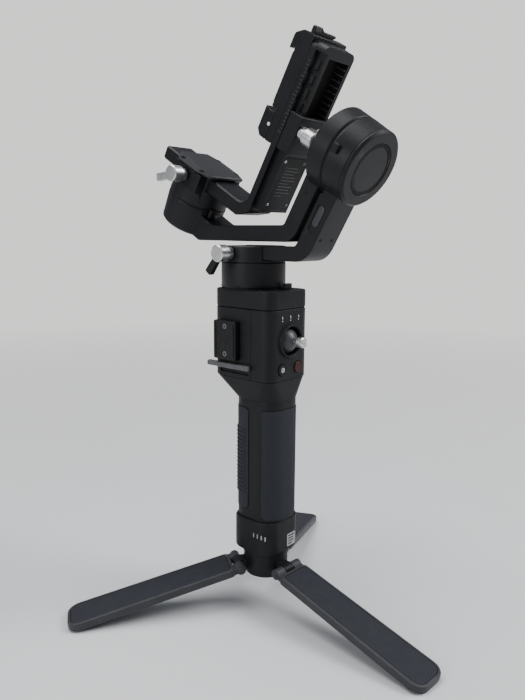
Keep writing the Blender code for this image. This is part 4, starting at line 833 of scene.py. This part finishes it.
def camera_arm_details():
    """Scale lines on the arm's edge, ribs and floor in its pocket, and the cover's screws and bars."""
    s = sizes()
    bm = bmesh.new()
    for i in range(int(52 * MM / s.tick_pitch)):
        length = 2.8 if i % 5 == 0 else 1.6
        line = Vector((ARM_LEFT, LONG_LEG_RIM, 62.0 * MM + i * s.tick_pitch))
        add_block(bm, line + mm(-0.04, 0.6, -0.10), line + mm(0.2, 0.6 + length, 0.10))
    keep_piece("camera_arm_scale", bm, "grey_print", "camera_beam", CAMERA_ARM)
    bm = bmesh.new()
    pitch = 55.0 * MM / s.pocket_ribs
    for i in range(s.pocket_ribs):
        z = 60.0 * MM + i * pitch
        add_block(bm, Vector((POCKET_WALL, LONG_LEG_BACK, z)) + mm(-1.3, 0.6, -0.55),
                  Vector((POCKET_WALL, LONG_LEG_RIM, z)) + mm(0.4, 0.8, 0.55), 0.3 * MM, "Y")
    keep_piece("pocket_ribs", bm, "leg_grey", "camera_beam", CAMERA_ARM)
    bm = bmesh.new()
    # A black floor in the pocket, painted shade.
    add_block(bm, Vector((ARM_LEFT, LONG_LEG_RIM, 0)) + mm(7.2, 0.3, 59.0),
              Vector((POCKET_WALL, LONG_LEG_RIM, 0)) + mm(-1.6, 1.05, 114.0))
    keep_piece("pocket_floor_shade", bm, "dark", "camera_beam", CAMERA_ARM)
    outward = CAMERA_ARM.to_3x3() @ Vector((0, -1, 0))
    # The left pair's silver is a painted highlight and the right pair's dark steel is painted shade.
    for name, look, x in (("cover_screws_left_highlit", "silver", -5.2), ("cover_screws_right_shaded", "steel", 15.4)):
        bm = bmesh.new()
        for z in (45.6, 13.4):
            spot = CAMERA_ARM @ Vector((x * MM, LONG_LEG_BACK, z * MM))
            add_screw(bm, 1.05 * MM, 0.10 * MM, facing(spot, outward))
        keep_piece(name, bm, look, "camera_beam")
    bm = bmesh.new()
    for i, width in enumerate((13.5, 15.0, 11.0, 14.4, 15.0, 9.0, 14.0, 12.2, 15.0, 7.5)):
        bar = Vector((-2.4 * MM, LONG_LEG_BACK, (41.4 - i * 2.35) * MM))
        add_block(bm, bar + mm(0, -0.03, -0.24), bar + mm(width, 0.2, 0.24))
    keep_piece("cover_bars", bm, "grey_print", "camera_beam", CAMERA_ARM)


def plate_details():
    """The jaw's index mark, the channel's grip pads and the ridges on the plate's catch."""
    bm = bmesh.new()
    edge = Vector((ARM_LEFT, CHANNEL_FLOOR, 0))
    add_block(bm, edge + mm(-0.04, -4.6, 9.2), edge + mm(0.2, -2.2, 11.4), 0.5 * MM, "X")
    keep_piece("jaw_mark", bm, "print", "plate_clamp", CARRIAGE)
    bm = bmesh.new()
    for z in (28.0, 49.5):
        add_block(bm, Vector((ARM_LEFT, CHANNEL_FLOOR, z * MM)) + mm(4.0, -0.5, 0),
                  Vector((LONG_LEG_RIGHT, CHANNEL_FLOOR, z * MM)) + mm(-4.0, 0.25, 6.0), 1.5 * MM, "Y",
                  0.15 * MM)
    keep_piece("channel_pads", bm, "rubber", "camera_carriage", CARRIAGE)
    bm = bmesh.new()
    spot = CARRIAGE.copy()
    spot.translation = Vector(JOINTS["plate_lever_turn"]["pos_m"])
    for i in range(4):
        x = -18.9 + i * 1.3
        add_block(bm, mm(x - 0.3, -1.75, 1.6), mm(x + 0.3, 1.75, 4.15), 0.2 * MM, "Y")
    keep_piece("catch_ridges", bm, "latch", "plate_catch", spot)


def lever_faces():
    """A turned ring and a hex drive on the end of each clamp lever's knob."""
    knob_end = 13.3 * MM
    for node, joint, body in (("pan_clamp_lever", "pan_lever_turn", "pan_lever"),
                              ("tilt_clamp_lever", "tilt_lever_turn", "tilt_lever"),
                              ("carriage_lever", "carriage_lever_turn", "carriage_clamp")):
        axis = Vector(JOINTS[joint]["axis"])
        matrix = facing(Vector(JOINTS[joint]["pos_m"]) + axis * knob_end, axis)
        bm = bmesh.new()
        add_ring(bm, profile_mm((3.1, -0.2), (3.1, 0.12), (4.6, 0.12), (4.9, -0.2)), 48, matrix)
        keep_piece(node + "_end_ring", bm, "silver", body)
        bm = bmesh.new()
        # A dark hexagon just proud of the knob end, painted as the shade inside a hex drive.
        add_disc(bm, 1.9 * MM, -0.2 * MM, 0.06 * MM, segments=6, matrix=matrix)
        keep_piece(node + "_socket", bm, "dark", body)


def tripod_details():
    """The hub's dark band and the hinge pins' heads."""
    bm = bmesh.new()
    band = HUB_TOP / MM - 3.0
    add_ring(bm, profile_mm((16.6, band - 0.9), (17.25, band - 0.7), (17.25, band - 0.2), (16.6, band - 0.1)),
             80)
    keep_piece("hub_band", bm, "dark", "handle")
    knuckle_end = 12.75 * MM
    for name in ("leg_a", "leg_b", "leg_c"):
        axis = Vector(JOINTS[name + "_fold"]["axis"])
        spot = Vector(JOINTS[name + "_fold"]["pos_m"])
        bm = bmesh.new()
        for side in (-1, 1):
            add_disc(bm, 2.6 * MM, 0, 0.7 * MM, 2.2 * MM, 28,
                     facing(spot + axis * side * knuckle_end, axis * side))
        keep_piece(name + "_pin_heads", bm, "leg_grey", name)


# --- Stage ---

def light_world(tree):
    """Dim fill from all round, behind a pale plain backdrop."""
    fill = tree.nodes["Background"]
    fill.inputs["Color"].default_value = (0.84, 0.88, 0.96, 1)
    fill.inputs["Strength"].default_value = 0.26
    backdrop = tree.nodes.new("ShaderNodeBackground")
    backdrop.inputs["Color"].default_value = BACKDROP
    seen = tree.nodes.new("ShaderNodeLightPath")
    mix = tree.nodes.new("ShaderNodeMixShader")
    link(tree, seen.outputs["Is Camera Ray"], mix.inputs["Fac"])
    link(tree, fill.outputs[0], mix.inputs[1])
    link(tree, backdrop.outputs[0], mix.inputs[2])
    link(tree, mix.outputs[0], tree.nodes["World Output"].inputs["Surface"])


def studio_stage():
    """Pale floor that melts into the backdrop, and soft lights."""
    table = CAD_BOX[0][2]
    bm = bmesh.new()
    bmesh.ops.create_grid(bm, x_segments=1, y_segments=1, size=4.0, matrix=Matrix.Translation((0, 0, table)))
    mesh = bpy.data.meshes.new("floor")
    bm.to_mesh(mesh)
    bm.free()
    mesh.materials.append(floor_material())
    floor = bpy.data.objects.new("floor", mesh)
    bpy.context.scene.collection.objects.link(floor)
    world = bpy.data.worlds.new("studio")
    world.use_nodes = True
    light_world(world.node_tree)
    bpy.context.scene.world = world
    for name, spot, aim, size, power in (
            ("key_light", (0.75, -0.95, 1.25), (0, 0, 0.22), 0.75, 26.0),
            ("top_light", (-0.15, 0.25, 1.35), (0, 0, 0.25), 0.9, 16.0),
            ("left_light", (-1.25, 0.15, 0.55), (0, 0, 0.2), 0.6, 7.0)):
        light = bpy.data.lights.new(name, "AREA")
        light.energy = power
        light.size = size
        lamp = bpy.data.objects.new(name, light)
        lamp.location = spot
        lamp.rotation_euler = (Vector(aim) - Vector(spot)).to_track_quat("-Z", "Y").to_euler()
        bpy.context.scene.collection.objects.link(lamp)


def studio_camera():
    turn, pitch, roll = math.radians(48.559), math.radians(10.272), math.radians(0.415)
    right = Vector((math.cos(turn), -math.sin(turn), 0))
    ahead = Vector((math.sin(turn), math.cos(turn), 0))
    look = ahead * math.cos(pitch) - Vector((0, 0, math.sin(pitch)))
    up = Vector((0, 0, math.cos(pitch))) + ahead * math.sin(pitch)
    across = right * math.cos(roll) + up * math.sin(roll)
    above = up * math.cos(roll) - right * math.sin(roll)
    data = bpy.data.cameras.new("camera")
    data.sensor_width = 36.0
    data.lens = 33.91
    data.clip_start, data.clip_end = 0.01, 20.0
    camera = bpy.data.objects.new("camera", data)
    matrix = Matrix((across, above, -look)).transposed().to_4x4()
    matrix.translation = (-0.36218, -0.31482, 0.26186)
    camera.matrix_world = matrix
    bpy.context.scene.collection.objects.link(camera)
    bpy.context.scene.camera = camera


# --- Operators ---

class PieceOperator:
    """Runs one builder; a failure raises, so nothing is left half made."""
    bl_options = {"REGISTER", "UNDO"}
    build = ()

    def execute(self, context):
        for step in self.build:
            step()
        return {"FINISHED"}


def operator(name, label, note, *steps):
    """An operator class that runs the given builders."""
    members = {"bl_idname": "stabilizer." + name, "bl_label": label, "__doc__": note, "build": steps}
    return type("STABILIZER_OT_" + name, (PieceOperator, bpy.types.Operator), members)


OPERATORS = (
    operator("finishes", "Finishes", "Give every frame piece its finish", make_looks, finish_nodes,
             smooth_copies),
    operator("grip_ribs", "Grip Ribs", "Add the ribs round the front of the grip", grip_ribs),
    operator("grip_marks", "Grip Marks", "Add the charge lights and the blank label", grip_marks),
    operator("status_lights", "Status Lights", "Add the status lights and the port's tongue", status_lights),
    operator("thumb_stick", "Thumb Stick", "Add the stick's collar and crown", stick_details),
    operator("button_marks", "Button Marks", "Add the thumb buttons' marks and surrounds", button_marks),
    operator("accessory_rail", "Accessory Rail", "Add the accessory rail's ridges and boss", rail_details),
    operator("pan_motor", "Pan Motor", "Add the pan motor's seam and notches", pan_details),
    operator("roll_motor", "Roll Motor", "Add the roll cap's ring and vents", roll_details),
    operator("arm_trim", "Arm Trim", "Add the arms' badge and screws", arm_details),
    operator("tilt_motor", "Tilt Motor", "Add the seams round the tilt and roll motors", tilt_details),
    operator("camera_arm", "Camera Arm", "Add the camera arm's scale, ribs and cover trim",
             camera_arm_details),
    operator("camera_plate", "Camera Plate", "Add the plate's pads, mark and catch ridges", plate_details),
    operator("clamp_levers", "Clamp Levers", "Add the clamp levers' turned end faces", lever_faces),
    operator("tripod", "Tripod", "Add the tripod's band and pin heads", tripod_details),
    operator("stage", "Stage", "Add the floor, lights and camera", studio_stage, studio_camera),
)


class STABILIZER_PT_panel(bpy.types.Panel):
    """Lists the steps that finish the stabilizer."""
    bl_label = "Stabilizer"
    bl_idname = "STABILIZER_PT_panel"
    bl_space_type = "VIEW_3D"
    bl_region_type = "UI"
    bl_category = "Stabilizer"

    def draw(self, context):
        for group in (context.scene.stabilizer_sizes, context.scene.stabilizer_colours):
            for name in group.bl_rna.properties.keys():
                if name not in ("rna_type", "name"):
                    self.layout.prop(group, name)
        for step in OPERATORS:
            self.layout.operator(step.bl_idname)


CLASSES = (StabilizerSizes, StabilizerColours, *OPERATORS, STABILIZER_PT_panel)


def register():
    for cls in CLASSES:
        bpy.utils.register_class(cls)
    bpy.types.Scene.stabilizer_sizes = bpy.props.PointerProperty(type=StabilizerSizes)
    bpy.types.Scene.stabilizer_colours = bpy.props.PointerProperty(type=StabilizerColours)


def unregister():
    del bpy.types.Scene.stabilizer_colours
    del bpy.types.Scene.stabilizer_sizes
    for cls in reversed(CLASSES):
        bpy.utils.unregister_class(cls)


def main():
    register()
    for step in OPERATORS:
        name = step.bl_idname.split(".")[1]
        getattr(bpy.ops.stabilizer, name)()


if __name__ == "__main__":
    main()
